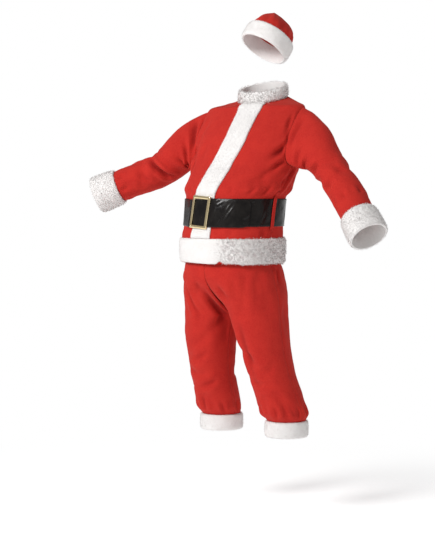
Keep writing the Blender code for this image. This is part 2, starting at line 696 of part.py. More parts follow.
def leg_centre(table, z):
    """The middle of the leg at a height, or above the crotch of the half seat over it."""
    heights = [row[0] for row in table]
    if z < heights[0]:
        place = np.interp(-z, [-h for h in heights], range(len(heights)))
        s = station(table, LEG_COLUMNS, place)
        return np.array([s["x"], s["y"], z])
    return np.array([table[0][1], SEAT[3][5], z])


def trousers(cloth, fur):
    sides = (("left", LEG_LEFT, 1, LEG_FOLDS_LEFT), ("right", LEG_RIGHT, -1, LEG_FOLDS_RIGHT))
    waist = []
    for word, table, side, folds in sides:
        ends = []
        for part, rear in (("front", -1), ("back", 1)):
            grid = trouser_panel(table, side, rear, folds)[::-1]
            if side * rear > 0:
                grid = grid[:, ::-1]
            wall(f"trouser_{part}_{word}", grid, cloth, CLOTH)
            waist.append(grid[-1])
            ends.append(grid[0])
        ring = np.concatenate([ends[0], ends[1][1:-1]])
        cuff_of_leg(f"trouser_cuff_{word}", ring, fur)
    front_left, back_left, front_right, back_right = waist
    ring = np.concatenate([front_left[:-1], back_left[:-1], back_right[:-1], front_right[:-1]])
    rise = np.array([0, 0, 1.0])
    grid = [ring + rise * (GAP + WAISTBAND * k / 2) for k in range(3)]
    wall("trouser_waistband", grid, cloth, CLOTH, closed=True)


def cuff_of_leg(name, ring, fur):
    """A fur tube below the last ring of a leg."""
    steps = np.linspace(GAP, LEG_CUFF_LENGTH, 4)
    grid = np.array([ring - np.array([0, 0, s]) for s in steps])[::-1]
    share = np.tile(pile_share(len(grid))[:, None], (1, len(ring)))
    wall(name, grid, fur, FUR, closed=True, outward=True, share=share)


# ---------------------------------------------------------------- hat
def hat_place(out, across, up):
    """A point of the hat from its place in the plane of its fold, tilted and set on the head."""
    fold, tilt = math.radians(HAT_FOLD), math.radians(HAT_TILT)
    x = out * math.cos(fold) - across * math.sin(fold)
    y = out * math.sin(fold) + across * math.cos(fold)
    back = y * math.cos(tilt) + up * math.sin(tilt)
    high = up * math.cos(tilt) - y * math.sin(tilt)
    turn = math.radians(HAT_TURN)
    place_x = x * math.cos(turn) - back * math.sin(turn)
    place_y = x * math.sin(turn) + back * math.cos(turn)
    return np.array(HAT_PLACE) + np.array([place_x, place_y, high])


def hat(cloth, fur):
    grid = []
    for k in range(HAT_STEPS + 1):
        place = (len(HAT_CROWN) - 1) * k / HAT_STEPS
        low_out, low_up, high_out, high_up, half = between(HAT_CROWN, place)
        peaked = math.exp(-(((place - HAT_PEAK) / HAT_PEAK_REACH) ** 2)) * min(place, 1)
        row = []
        for j in range(HAT_AROUND):
            angle = 2 * math.pi * j / HAT_AROUND
            share = (1 + math.cos(angle)) / 2
            out = low_out * share + high_out * (1 - share)
            over = peaked * (1 - share) ** 4
            up = low_up * share + high_up * (1 - share) + HAT_RAISE * over
            sine = math.sin(angle)
            pinch = 1 + HAT_PINCH * peaked * (1 - share) * (sine > 0)
            across = half * signed_power(sine, pinch) + HAT_LEAN * over
            row.append(hat_place(out, across, up))
        grid.append(row)
    wall("hat_crown", grid, cloth, CLOTH, closed=True, cap=True)
    ring = np.array(grid[0])
    up = hat_place(0, 0, 1) - hat_place(0, 0, 0)
    steps = np.linspace(-BRIM_HIGH, -GAP, 5)
    rows = [ring + up * s for s in steps]
    share = np.tile(pile_share(len(rows))[:, None], (1, HAT_AROUND))
    wall("hat_brim", rows, fur, BRIM_FUR, closed=True, outward=True, share=share)


# ---------------------------------------------------------------- the suit
for old in list(bpy.data.objects):
    bpy.data.objects.remove(old, do_unlink=True)
SUIT = bpy.data.collections.new("santa_suit")
bpy.context.scene.collection.children.link(SUIT)

plush = material("red_plush", RED, 0.85)
pile = material("white_fur", WHITE, 0.95)
vinyl = material("black_vinyl", BLACK, 0.25)
gilt = material("gold_metal", GOLD, 0.25, 1.0)

jacket(plush, pile)
for word, table, side, folds in (
    ("left", SLEEVE_LEFT, 1, SLEEVE_FOLDS_LEFT),
    ("right", SLEEVE_RIGHT, -1, SLEEVE_FOLDS_RIGHT),
):
    rings, along = sleeve(f"sleeve_{word}", table, side, folds, plush)
    cuff(f"cuff_{word}", rings[-1], along, pile)
belt(vinyl)
buckle(gilt)
belt_loop("belt_loop_left", math.radians(90), plush)
belt_loop("belt_loop_right", math.radians(270), plush)
trousers(plush, pile)
hat(plush, pile)
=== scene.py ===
"""The santa suit's looks: thin plush cloth with its creases, fur bands, glossy belt, gilt buckle.

Metres, +Z up, -Y the wearer's front, +X the wearer's left. Each piece is a finer mesh on the form
of the solid that it replaces, worked out from the same tables and sizes.
"""

import math

import bpy
import numpy as np
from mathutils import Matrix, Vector


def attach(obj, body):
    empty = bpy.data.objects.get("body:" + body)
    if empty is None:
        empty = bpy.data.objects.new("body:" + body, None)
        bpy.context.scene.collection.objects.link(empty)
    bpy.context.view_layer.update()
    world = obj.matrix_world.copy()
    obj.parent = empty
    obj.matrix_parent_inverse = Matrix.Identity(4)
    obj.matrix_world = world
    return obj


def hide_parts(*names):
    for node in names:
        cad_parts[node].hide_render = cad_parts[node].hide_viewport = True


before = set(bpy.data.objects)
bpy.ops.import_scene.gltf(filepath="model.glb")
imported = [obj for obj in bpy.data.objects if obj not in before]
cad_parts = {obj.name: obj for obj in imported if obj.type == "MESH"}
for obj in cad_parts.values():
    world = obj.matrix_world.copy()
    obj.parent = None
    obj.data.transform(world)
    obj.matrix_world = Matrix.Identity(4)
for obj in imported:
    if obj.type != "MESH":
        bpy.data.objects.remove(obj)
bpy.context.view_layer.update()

# ---------------------------------------------------------------- sizes of the garment
CLOTH, STRAP = 0.0022, 0.0025  # thickness of the plush and of the belt
FUR = 0.012  # how far the pile stands off its backing
BACKING = 0.0012  # the woven ground that the pile grows from
GAP = 0.0003  # between a fur band and the cloth that it lies on
SEAM_APART = 0.00004  # half the space between two panels, so that no light comes through
BAND_HALF = 0.047  # half the front band's width
BAND_START, BAND_END = 1.01, 9.6  # jacket stations from the hem band to under the collar
BAND_ENDS = (0.12, 0.15)  # stations in which its pile rises from half at the hem and the neck
PRESSED = 0.3  # share of the pile left under the belt
PRESS_PAST, PRESS_EASE = 0.10, 0.12  # stations past the belt's edges, in which it is pressed
BARE_FROM = 0.05  # share of the pressing from which the pile carries no tufts
COLLAR_RISE, COLLAR_LEAN = 0.042, 0.12  # its height, and how far it leans in against that
CUFF_LENGTH, CUFF_FLARE = 0.095, 0.06  # and how much wider its end is than the sleeve
LEG_CUFF_LENGTH = 0.058
WAISTBAND = 0.035
BRIM_HIGH, BRIM_FUR = 0.062, 0.014  # its height and pile
TORSO_RADIUS, SLEEVE_RADIUS, LEG_RADIUS, HAT_RADIUS = 0.19, 0.062, 0.09, 0.075  # for unrolling
SLEEVE_OFF = 0.0001  # from a sleeve's top edge to the armhole

BELT_TALL = 0.098
BELT_REST = 0.0008  # between the jacket and the strap
BELT_END = math.radians(58.5)  # past the front, on the second layer
BELT_KEPT = 0.995  # share of the stretch between the two belt stations that the strap fills
BAND_EDGE, BAND_EASE = 0.34, 0.03  # radians from the front where the strap leaves the band
BAND_OVER = FUR * PRESSED + 0.0006  # how far the pressed band lifts it
LAP_START, LAP_EASE = 0.42, 0.05  # radians before the buckle where the second layer starts
LAP_OVER = STRAP + 0.0012  # from layer to layer
LAP_LOWER = 0.006  # how much lower the free end lies than the strap under it
TIP_LENGTH, TIP_HALF = 0.16, 0.55  # radians of the rounded end, and share of the height it ends at
BELT_WAVE, BELT_WAVE_SIZE = 0.0005, 0.05  # depth and size of its slight waves
BELT_DENT = 0.0003  # how far a crease may press it in beside the ridge
BELT_THIN, BELT_THIN_FROM = 0.0006, 0.88  # how much thinner the edges are, and from what share on

LOOP_WIDTH, LOOP_CLOTH = 0.012, 0.0018  # width and thickness
LOOP_OVER = STRAP + 0.0020  # from the strap's inner face to the loop over it
LOOP_KEPT = 0.97  # least share of that height over the strap once its path is rounded off
LOOP_CROWN = 0.45  # share of its thickness that a loop loses at its edges
LOOP_EASE = (0.1, 0.2, 0.4, 0.2, 0.1)  # shares of neighbouring rows that round its path off
LOOP_PATH = (  # stations above the belt's lower edge, height off the jacket, None over the strap
    (-0.42, 0.0005),
    (-0.16, 0.0010),
    (-0.03, None),
    (0.50, None),
    (1.05, None),
    (1.30, 0.0010),
    (1.62, 0.0005),
)

BUCKLE_WIDE, BUCKLE_TALL, BUCKLE_THICK = 0.088, 0.116, 0.006
BUCKLE_BOW = 0.30  # radius of its bow round the waist
BUCKLE_REST = 0.0030  # from the strap's two layers to its back
BUCKLE_TIP, BUCKLE_ASIDE = 4.0, -0.005  # degrees over to the left at the top, metres to the left
BUCKLE_BEVEL, BEVEL_FROM = 0.0004, 20  # width, and degrees at an edge from which it is bevelled
BUCKLE_SECTION = (  # inset from the outer edge, lift in thicknesses, corner radius
    (0.0000, 0.00, 0.0030), (0.0000, 0.60, 0.0030), (0.0018, 0.90, 0.0026),
    (0.0036, 1.00, 0.0022), (0.0074, 1.00, 0.0016), (0.0092, 0.90, 0.0013),
    (0.0110, 0.60, 0.0010), (0.0110, 0.00, 0.0010),
)

# ---------------------------------------------------------------- seams, creases and waves
SEAM_ROLL, SEAM_REACH = 0.0012, 0.0042  # how deep a seam draws the cloth in, and how far off
ARMHOLE_ROLL, HAT_ROLL = 0.15, 0.8  # shares of it left at an armhole and at the crown's seam
CREASE_DEPTH = 1.65  # scales the creases of the tables
CREASE_SHADE_FULL = 0.0064  # a crease this deep carries the darkest painted shade
CREASE_START, CREASE_END = 0.3, 0.5  # shares of its length in which a crease deepens and fades
CREASE_NARROW, CREASE_SPREAD = 0.75, 0.5  # its width at the start, and how much it widens
RIDGES = ((0.45, 1.6), (0.25, -1.8))  # height and place beside it, against its depth and width
CLOTH_WAVES = ((0.0009, 0.11), (0.0004, 0.035))  # depth and size of the waves in all cloth
WAVE_COUNT, WAVE_SCALE = 12, 4.5  # how many sines are added up, and what divides their sum
WAVE_STRETCH = (0.6, 1.5)  # least and most waves in the stated size
SEAM_CROWDING, EDGE_CROWDING = 0.62, 0.65  # how much closer rows lie at seams and at band edges
BLOUSE_EASE, SKIRT_EASE = 0.5, 0.3  # stations in which creases start above and below the belt
SEAM_EASE = 0.3  # stations in which a jacket seam starts over the belt, and ends at an armhole
BAND_CALM = 0.07  # radians beside the front band in which creases start
JACKET_FLAT, PANEL_FLAT = 0.012, 0.014  # metres beside a seam in which creases start
SLEEVE_FLAT, LEG_FLAT, HAT_FLAT = 0.010, 0.008, 0.006  # and above a cuff or brim
ARMHOLE_EASE = 0.10  # metres of a sleeve in which its seam gets its full depth
TROUSER_CALM, CALM_EASE = -0.50, 0.04  # above it the trousers lie flat under the jacket
WAIST_GATHERS, WAIST_RUCK = 62, 0.0016  # how many gathers, and how deep
WAIST_SWING, WAIST_SWAYS = 0.9, 7  # how far they crowd together, and in how many places

# ---------------------------------------------------------------- fur
PILE_EDGE = 0.25  # share of its height that the pile keeps at the edges of a band
PILE_BODY = 0.60  # share of the pile that is one soft mass; tufts stand on it
PILE_LUMPS = 0.20  # share by which curly pile rises and falls
LUMPS = ((0.6, 0.022), (0.4, 0.009))  # weight and size of the lumps in the pile
PAINTED_HOLLOW_SHADE, PAINTED_SHADE_OFF_LUMPS = 0.45, 0.6  # painted shade in the pile between its curls, and how much less of it lies on a lump
STANDING_FROM = 0.2  # share of the pile's height from which it carries tufts
CURL_BRUSHED, CURL_CUFF = 0.38, 0.42  # how curly brushed fur and the cuffs are, against 1
BRUSHED_LIFT = 0.22  # brushed pile stands as one mass nearly to its tips
BRUSHED_REACH = 0.40  # and its locks keep this much of their length
BRUSHED_ANGLE, BRUSHED_HALF, BRUSHED_EASE = -18.0, 30.0, 24.0  # where the hem is brushed smooth
HEM_NOTCH, NOTCH_ANGLE, NOTCH_WIDE = 0.010, 25.0, 3.2  # metres up, and where in degrees
HEM_UNEVEN, BAND_UNEVEN = (0.0022, 0.12), (0.0016, 0.07)  # how far their edges stray, over what
TUFT_LONG, TUFT_CUFF, TUFT_SHORT = (  # length and spacing of the locks
    (0.0090, 0.0033), (0.0062, 0.0030), (0.0038, 0.0028),
)
LOCK_RINGS = ((0.0, 0.10), (0.45, 0.11), (0.80, 0.07), (1.0, 0.015))  # how far up, and radius
LOCK_BEND, LOCK_THROW = 1.1, 0.8  # radians that its tip bends over, and how far that carries it
LOCK_SHADE = 0.8  # how dark its root is
LOCK_SPREAD, LOCK_FALL = 0.95, (0.0, 0.0, -0.35)  # how far locks stray, and hang down
LOCK_CROWD = 200000.0  # most locks on a square metre
LOCK_UNEVEN = (0.75, 1.25)  # shortest and longest, against their mean
EDGE_FALL = 0.9  # how far the pile falls sideways at the edges of a band

# ---------------------------------------------------------------- stitches
STITCH_STEP, STITCH_SHARE = 0.0045, 0.72  # from stitch to stitch, and the share that shows
STITCH_CLEAR = 0.03  # radians past the free end before the strap's stitches show
TACK_LENGTH = 0.0022  # of the stitches across a belt loop
STITCH_RINGS = (  # along, radius and rise, for a stitch one unit long
    (-0.50, 0.050, -0.10), (-0.44, 0.085, 0.02), (-0.25, 0.105, 0.09), (0.25, 0.105, 0.09),
    (0.44, 0.085, 0.02), (0.50, 0.050, -0.10),
)

# ---------------------------------------------------------------- how fine the meshes are
BODY_STEPS = (8, 5, 9, 8, 10, 9)  # rows from one jacket station to the next
ARMHOLE_STEPS = 36
SHOULDER_STEPS = 24
FRONT_COLUMNS, BACK_COLUMNS = 57, 111
SLEEVE_ROWS = 78
PANEL_COLUMNS, SEAT_ROWS, LEG_ROWS = 45, 62, 66
WAIST_COLUMNS, WAIST_ROWS = 260, 8
HAT_ROWS, HAT_COLUMNS = 84, 76
BAND_ROWS, BAND_COLUMNS = 150, 25
HEM_ROWS, HEM_COLUMNS = 24, 320
COLLAR_ROWS, COLLAR_COLUMNS = 12, 150
CUFF_ROWS, CUFF_COLUMNS = 25, 112
LEG_CUFF_ROWS, LEG_CUFF_COLUMNS = 17, 132
BRIM_ROWS, BRIM_COLUMNS = 19, 150
BELT_COLUMNS, BELT_ROWS, EDGE_ROW = 430, 31, 1  # and the row in from an edge that is stitched
LOOP_ROWS, LOOP_COLUMNS = 46, 9
TACK_ROWS = (3, 5, 40, 42)  # rows of a loop that are stitched
CORNER_STEPS, SIDE_STEPS = 6, 12  # round a corner and along a side of the buckle
PATH_STEPS = 400  # in which a sleeve's path is measured
AXIS_STEP = 0.05  # stations to each side that a sleeve's axes look
NORMAL_STEPS = (0.004, 0.02)  # radians and stations to each side that a jacket normal looks

# ---------------------------------------------------------------- colours
RED_LIT, RED_DEEP = (0.520, 0.026, 0.018), (0.470, 0.021, 0.016)
# painted highlight on raised nap and on the ridges beside creases, and painted shade at the roots of
# the nap
RED_RAISED_HIGHLIGHT, RED_ROOT_SHADE = (0.570, 0.036, 0.026), (0.330, 0.011, 0.010)
# painted shade in the creases, then the sheen's tint
RED_CREASE_SHADE, RED_SHEEN = (0.220, 0.006, 0.006), (1.0, 0.34, 0.26, 1)
FUR_BRIGHT, FUR_WARM = (0.840, 0.822, 0.808), (0.810, 0.790, 0.775)
# painted shade between curls and along strands, and deeper painted shade in the pile's hollows and at
# the roots of its locks
FUR_SHADE, FUR_DEPTH_SHADE = (0.830, 0.785, 0.775), (0.680, 0.600, 0.595)
BLACK_DEEP, BLACK_WORN = (0.006, 0.005, 0.005), (0.012, 0.010, 0.009)
BLACK_SCUFF = (0.030, 0.026, 0.024)
GILT, GILT_DULL, GILT_PALE = (0.99, 0.80, 0.46), (0.62, 0.42, 0.18), (0.98, 0.90, 0.72)
THREAD_BLACK = (0.010, 0.010, 0.011), (0.002, 0.002, 0.002)  # thread, and painted shade between its plies
THREAD_RED = (0.26, 0.010, 0.010), (0.09, 0.003, 0.003)
FLOOR_PALE, FLOOR_PALE_TOO, FLOOR_GLOW = (0.92, 0.92, 0.92), (0.90, 0.90, 0.90), (0.45, 0.45, 0.45)

# ---------------------------------------------------------------- camera, lights and floor
CAMERA_AZIMUTH, CAMERA_DISTANCE, CAMERA_HEIGHT = 43.0, 5.4, -0.33
CAMERA_RIGHT, CAMERA_PITCH = -0.119, 87  # degrees up from straight down
CAMERA_SENSOR = 24.0
CAMERA_LENS = 1477.0 / 537 * CAMERA_SENSOR
WORLD_LIGHT = 0.34
LIGHTS = (  # power, size, and place to the camera's right, towards it and up
    ("key", 168.0, 1.6, (-3.1, 2.8, 1.9)),
    ("fill", 4.0, 2.4, (3.0, 2.4, 0.9)),
    ("back", 8.0, 2.0, (0.6, -3.0, 2.4)),
)
CHEST = (0, 0, -0.35)  # what the lights look at
FLOOR_HEIGHT, FLOOR_SIZE = -1.50, 40.0
FLOOR_NEAR, FLOOR_FAR = 0.2, 1.7  # metres from the middle between which it turns to backdrop

# ---------------------------------------------------------------- the cut
# Each piece as cut: width and length in metres, and its share of that rectangle's area.
CUTS = {
    "jacket_front_left": (0.330, 0.630, 0.775),
    "jacket_front_right": (0.350, 0.630, 0.830),
    "jacket_back": (0.640, 0.640, 0.777),
    "sleeve_left": (0.440, 0.480, 0.82),
    "sleeve_right": (0.440, 0.480, 0.80),
    "front_band": (0.094, 0.585, 1.0),
    "collar": (0.560, 0.0435, 1.0),
    "hem_band": (1.210, 0.087, 1.0),
    "cuff_left": (0.420, 0.095, 1.0),
    "cuff_right": (0.420, 0.095, 1.0),
    "belt": (1.350, 0.098, 1.0),
    "belt_loop_left": (0.012, 0.199, 1.0),
    "belt_loop_right": (0.012, 0.199, 1.0),
    "trouser_front_left": (0.330, 0.720, 0.876),
    "trouser_front_right": (0.330, 0.720, 0.873),
    "trouser_back_left": (0.330, 0.720, 0.860),
    "trouser_back_right": (0.330, 0.720, 0.853),
    "trouser_waistband": (1.063, 0.035, 1.0),
    "trouser_cuff_left": (0.506, 0.058, 1.0),
    "trouser_cuff_right": (0.506, 0.058, 1.0),
    "hat_crown": (0.540, 0.250, 0.49),
    "hat_brim": (0.595, 0.066, 1.0),
}
GATHERED = ("trouser_waistband",)

# ---------------------------------------------------------------- tables
# Jacket stations, hem to neck: height, half width, depth to the front and back of the centre,
# centre, turn in degrees, how much lower the front is, how square the outline is (2 is an
# ellipse), and the degrees by which the front band's middle lies to the wearer's left.
JACKET_COLUMNS = ("z", "half", "front", "back", "x", "y", "turn", "dip", "power", "band")
JACKET = (
    (-0.585, 0.186, 0.161, 0.154, 0.0, -0.095, -3, 0.000, 2.3, 0),  # hem
    (-0.498, 0.189, 0.164, 0.152, 0.0, -0.092, -3, 0.000, 2.3, 0),  # top of the hem band
    (-0.455, 0.187, 0.158, 0.150, 0.0, -0.088, -3, 0.000, 2.3, 0),  # lower edge of the belt
    (-0.357, 0.188, 0.161, 0.146, 0.0, -0.074, -2, 0.000, 2.3, 0),  # upper edge of the belt
    (-0.320, 0.204, 0.172, 0.152, 0.0, -0.060, 0, 0.000, 2.3, 1.5),  # bloused over the belt
    (-0.275, 0.208, 0.166, 0.146, 0.0, -0.040, 2, 0.000, 2.3, 3),  # chest
    (-0.237, 0.211, 0.156, 0.136, 0.0, -0.022, 3, 0.000, 2.3, 3.5),  # underarm
    (-0.130, 0.214, 0.130, 0.110, 0.0, 0.004, 6, 0.000, 2.3, 8),  # upper chest
    (-0.030, 0.203, 0.084, 0.084, 0.004, 0.030, 8, 0.004, 2.1, 7.5),  # shoulder point
    (0.002, 0.152, 0.080, 0.074, 0.012, 0.042, 8, 0.024, 2.0, 7),  # mid shoulder
    (0.030, 0.088, 0.074, 0.066, 0.018, 0.052, 8, 0.046, 2.0, 7),  # neckline
)
HEM, HEM_TOP, BELT_LOW, BELT_TOP, UNDERARM, SHOULDER, NECK = 0, 1, 2, 3, 6, 8, 10
ARMHOLE_HALF = (0.36, 0.40)  # half the armhole's opening in radians, to the front and back
ARMHOLE_MIDDLE, ARMHOLE_REACH = (UNDERARM + SHOULDER) / 2, (SHOULDER - UNDERARM) / 2

# Sleeve stations from the armhole: centre of the section and its half height and half depth.
SLEEVE_COLUMNS = ("x", "y", "z", "high", "deep")
SLEEVE_LEFT = (
    (0.206, 0.010, -0.150, 0.092, 0.062),  # armhole
    (0.282, 0.024, -0.172, 0.078, 0.067),
    (0.346, 0.020, -0.240, 0.062, 0.062),
    (0.400, 0.010, -0.292, 0.060, 0.061),  # elbow
    (0.456, -0.002, -0.350, 0.060, 0.060),
    (0.512, -0.020, -0.414, 0.058, 0.058),  # cuff seam
)
SLEEVE_RIGHT = (
    (-0.206, -0.030, -0.150, 0.092, 0.062),
    (-0.270, -0.042, -0.162, 0.080, 0.068),
    (-0.326, -0.066, -0.214, 0.069, 0.066),
    (-0.378, -0.086, -0.250, 0.065, 0.063),
    (-0.438, -0.122, -0.278, 0.062, 0.061),
    (-0.512, -0.170, -0.312, 0.058, 0.058),
)
BLEND_STATIONS = 2.0  # over which a sleeve goes from the armhole's shape to its own

# Trouser stations, waist to cuff: the seat as one ring, with the jacket's columns, and each leg
# with its centre, half width and half depth.
SEAT_COLUMNS = ("z", "half", "front", "back", "x", "y", "power")
SEAT = (
    (-0.440, 0.158, 0.128, 0.122, 0.0, -0.088, 2.2),  # waist
    (-0.510, 0.168, 0.140, 0.134, 0.0, -0.090, 2.2),
    (-0.575, 0.176, 0.146, 0.1428, 0.0, -0.092, 2.3),  # inside the jacket's hem
    (-0.622, 0.190, 0.158, 0.158, 0.0, -0.090, 2.2),
    (-0.660, 0.196, 0.165, 0.162, 0.0, -0.088, 2.2),
    (-0.700, 0.204, 0.168, 0.163, 0.0, -0.084, 2.2),
    (-0.740, 0.207, 0.169, 0.162, 0.0, -0.080, 2.2),
    (-0.775, 0.205, 0.168, 0.160, 0.0, -0.077, 2.2),  # crotch
)
PARTING_START, CROTCH, PARTING = 2.2, 7.0, 2.0  # stations between which the legs part, and power
SEAT_MIDDLE = -0.090  # to which the folds of the seat are pushed in
LEG_COLUMNS = ("z", "x", "y", "half", "deep")
LEG_LEFT = (
    (-0.775, 0.1024, -0.068, 0.1016, 0.112),  # crotch
    (-0.850, 0.115, -0.058, 0.091, 0.103),
    (-0.925, 0.125, -0.044, 0.083, 0.094),
    (-1.000, 0.135, -0.024, 0.081, 0.090),  # knee
    (-1.065, 0.142, -0.002, 0.084, 0.090),
    (-1.125, 0.151, 0.018, 0.085, 0.090),  # bloused over the cuff
    (-1.158, 0.154, 0.027, 0.069, 0.071),  # cuff seam
)
LEG_RIGHT = (
    (-0.775, -0.1024, -0.088, 0.1016, 0.112),
    (-0.850, -0.113, -0.086, 0.092, 0.101),
    (-0.925, -0.119, -0.078, 0.085, 0.092),
    (-1.000, -0.128, -0.060, 0.080, 0.085),
    (-1.065, -0.136, -0.036, 0.082, 0.086),
    (-1.125, -0.145, -0.010, 0.080, 0.084),
    (-1.158, -0.147, 0.006, 0.070, 0.072),
)

# Hat sections in the plane in which its tail folds: the side under the fold, the side over it,
# each as (out, up) from the middle of the opening, and the half width across.
HAT_CROWN = (
    (0.090, 0.000, -0.090, 0.000, 0.084),
    (0.090, 0.024, -0.080, 0.026, 0.077),
    (0.091, 0.044, -0.054, 0.052, 0.067),
    (0.095, 0.052, -0.006, 0.074, 0.058),
    (0.101, 0.048, 0.070, 0.080, 0.050),
    (0.108, 0.032, 0.122, 0.056, 0.038),
    (0.115, 0.006, 0.139, 0.014, 0.029),
    (0.119, -0.022, 0.136, -0.018, 0.018),
    (0.122, -0.046, 0.131, -0.044, 0.008),
)
HAT_PEAK, HAT_PEAK_REACH = 3.4, 2.0  # station at which the fold stands up in a peak
HAT_PINCH, HAT_LEAN, HAT_RAISE = 1.2, 0.036, 0.006  # how sharp, how far forward, how much higher
HAT_PLAIN, HAT_EASE = 7.4, 1.2  # station from which the tail has no creases, and where they fade
HAT_SEAM_START, HAT_SEAM_END, HAT_SEAM_EASE = 0.01, 7.5, 1.5  # metres up, then stations
HAT_PLACE = (0.017, 0.098, 0.241)
HAT_TILT = 34.0  # degrees, front up
HAT_TURN = -20.0  # degrees, the face turned to the wearer's right
HAT_FOLD = 152.0  # degrees from +X, the way the tail falls

# Folds, as segments on the unrolled cloth: from and to (angle in degrees, distance), half
# width and depth of the trough; a negative depth is a ridge. Angle 0 is the front centre.
JACKET_FOLDS = (
    (68, -0.246, 50, -0.296, 0.018, 0.007),  # from the left underarm to the belly
    (70, -0.328, 60, -0.290, 0.016, 0.006),
    (104, -0.328, 112, -0.285, 0.017, 0.006),
    (140, -0.328, 134, -0.280, 0.018, 0.007),
    (180, -0.328, 176, -0.250, 0.020, 0.006),
    (222, -0.328, 230, -0.285, 0.018, 0.007),
    (262, -0.328, 254, -0.290, 0.016, 0.006),
    (296, -0.328, 302, -0.295, 0.017, 0.006),
    (292, -0.246, 310, -0.300, 0.018, 0.007),
    (128, -0.120, 150, -0.235, 0.022, 0.007),
    (232, -0.120, 212, -0.235, 0.022, 0.007),
    (318, -0.090, 308, -0.200, 0.020, 0.006),
)
SLEEVE_FOLDS_LEFT = (  # angle 0 is the underside, 90 the front; distance along the sleeve
    (30, 0.080, 95, 0.115, 0.017, 0.006),
    (310, 0.085, 265, 0.120, 0.018, 0.005),
    (40, 0.170, 150, 0.215, 0.016, 0.006),
    (0, 0.205, 60, 0.235, 0.015, 0.007),
    (210, 0.250, 320, 0.215, 0.016, 0.006),
    (70, 0.290, 150, 0.265, 0.015, 0.005),
)
SLEEVE_FOLDS_RIGHT = (
    (30, 0.075, 90, 0.100, 0.017, 0.006),
    (310, 0.085, 265, 0.120, 0.018, 0.005),
    (30, 0.155, 165, 0.205, 0.016, 0.009),
    (10, 0.215, 80, 0.235, 0.015, 0.006),
    (200, 0.240, 310, 0.205, 0.016, 0.006),
    (60, 0.300, 140, 0.275, 0.015, 0.005),
)
LEG_FOLDS_LEFT = (  # angle 0 is the inner side, 90 the front, 180 the outer side; height
    (100, -0.640, 95, -0.760, 0.020, 0.008),
    (140, -0.630, 150, -0.740, 0.020, 0.006),
    (35, -0.880, 105, -0.960, 0.018, 0.007),
    (120, -1.010, 60, -1.045, 0.016, 0.006),
    (250, -0.960, 330, -1.010, 0.018, 0.007),
    (160, -1.125, 130, -1.060, 0.017, 0.006),
    (80, -1.130, 92, -1.075, 0.016, 0.006),
    (300, -1.130, 285, -1.070, 0.017, 0.006),
    (225, -1.130, 232, -1.080, 0.016, 0.005),
)
LEG_FOLDS_RIGHT = (
    (110, -0.620, 105, -0.780, 0.018, 0.008),
    (135, -0.620, 130, -0.800, 0.016, 0.007),
    (60, -0.860, 120, -0.930, 0.018, 0.007),
    (70, -1.000, 130, -1.040, 0.016, 0.006),
    (240, -0.950, 320, -1.000, 0.018, 0.007),
    (150, -1.130, 140, -1.070, 0.016, 0.006),
    (60, -1.130, 75, -1.080, 0.016, 0.005),
    (290, -1.130, 275, -1.075, 0.017, 0.006),
)


# Creases that are finer than the folds above: the same columns with a bend of the line in
# metres put in before the half width. Each is a trough with a soft ridge beside it.
JACKET_CREASES = (
    (89, -0.172, 46, -0.224, 0.010, 0.017, 0.0088),  # left underarm over the chest
    (92, -0.158, 60, -0.178, 0.005, 0.012, 0.0090),
    (86, -0.205, 60, -0.262, 0.006, 0.014, 0.0054),
    (99, -0.232, 82, -0.325, -0.006, 0.013, 0.0050),
    (91, -0.350, 89, -0.282, 0.002, 0.008, 0.0050),  # pinched over the left loop
    (269, -0.350, 271, -0.282, -0.002, 0.008, 0.0050),
    (30, -0.348, 22, -0.300, 0.003, 0.012, 0.0028),
    (52, -0.348, 58, -0.306, -0.003, 0.011, 0.0030),
    (70, -0.350, 76, -0.300, 0.002, 0.012, 0.0034),
    (338, -0.348, 334, -0.298, 0.003, 0.012, 0.0030),
    (316, -0.348, 310, -0.300, -0.003, 0.012, 0.0034),
    (276, -0.166, 318, -0.222, -0.010, 0.017, 0.0066),  # right underarm over the chest
    (316, -0.200, 310, -0.312, 0.004, 0.026, 0.0058),
    (282, -0.228, 306, -0.300, 0.006, 0.014, 0.0040),
    (340, -0.150, 333, -0.240, 0.006, 0.018, 0.0022),
    (62, -0.052, 74, -0.130, 0.006, 0.016, 0.0030),  # fronts of the shoulders
    (298, -0.052, 286, -0.130, -0.006, 0.016, 0.0032),
    (104, -0.165, 150, -0.214, -0.012, 0.018, 0.0050),  # back, from both underarms
    (256, -0.165, 210, -0.210, 0.012, 0.018, 0.0050),
    (112, -0.228, 160, -0.268, -0.008, 0.015, 0.0040),
    (248, -0.232, 198, -0.276, 0.008, 0.015, 0.0042),
    (182, -0.050, 176, -0.190, 0.008, 0.022, 0.0026),
    (150, -0.060, 160, -0.140, 0.006, 0.018, 0.0024),
    (212, -0.058, 204, -0.150, -0.006, 0.018, 0.0026),
    (112, -0.350, 118, -0.296, 0.003, 0.012, 0.0034),
    (136, -0.350, 132, -0.290, -0.003, 0.013, 0.0036),
    (158, -0.350, 162, -0.286, 0.003, 0.012, 0.0034),
    (181, -0.350, 178, -0.292, -0.003, 0.013, 0.0036),
    (203, -0.350, 207, -0.286, 0.003, 0.012, 0.0034),
    (226, -0.350, 222, -0.292, -0.003, 0.013, 0.0036),
    (248, -0.350, 252, -0.294, 0.003, 0.012, 0.0034),
    (38, -0.458, 34, -0.498, 0.002, 0.014, 0.0022),  # below the belt
    (78, -0.458, 82, -0.500, 0.002, 0.013, 0.0026),
    (128, -0.458, 124, -0.500, 0.002, 0.014, 0.0026),
    (176, -0.458, 180, -0.500, 0.002, 0.014, 0.0026),
    (232, -0.458, 236, -0.500, 0.002, 0.014, 0.0026),
    (322, -0.458, 326, -0.498, 0.002, 0.014, 0.0024),
)
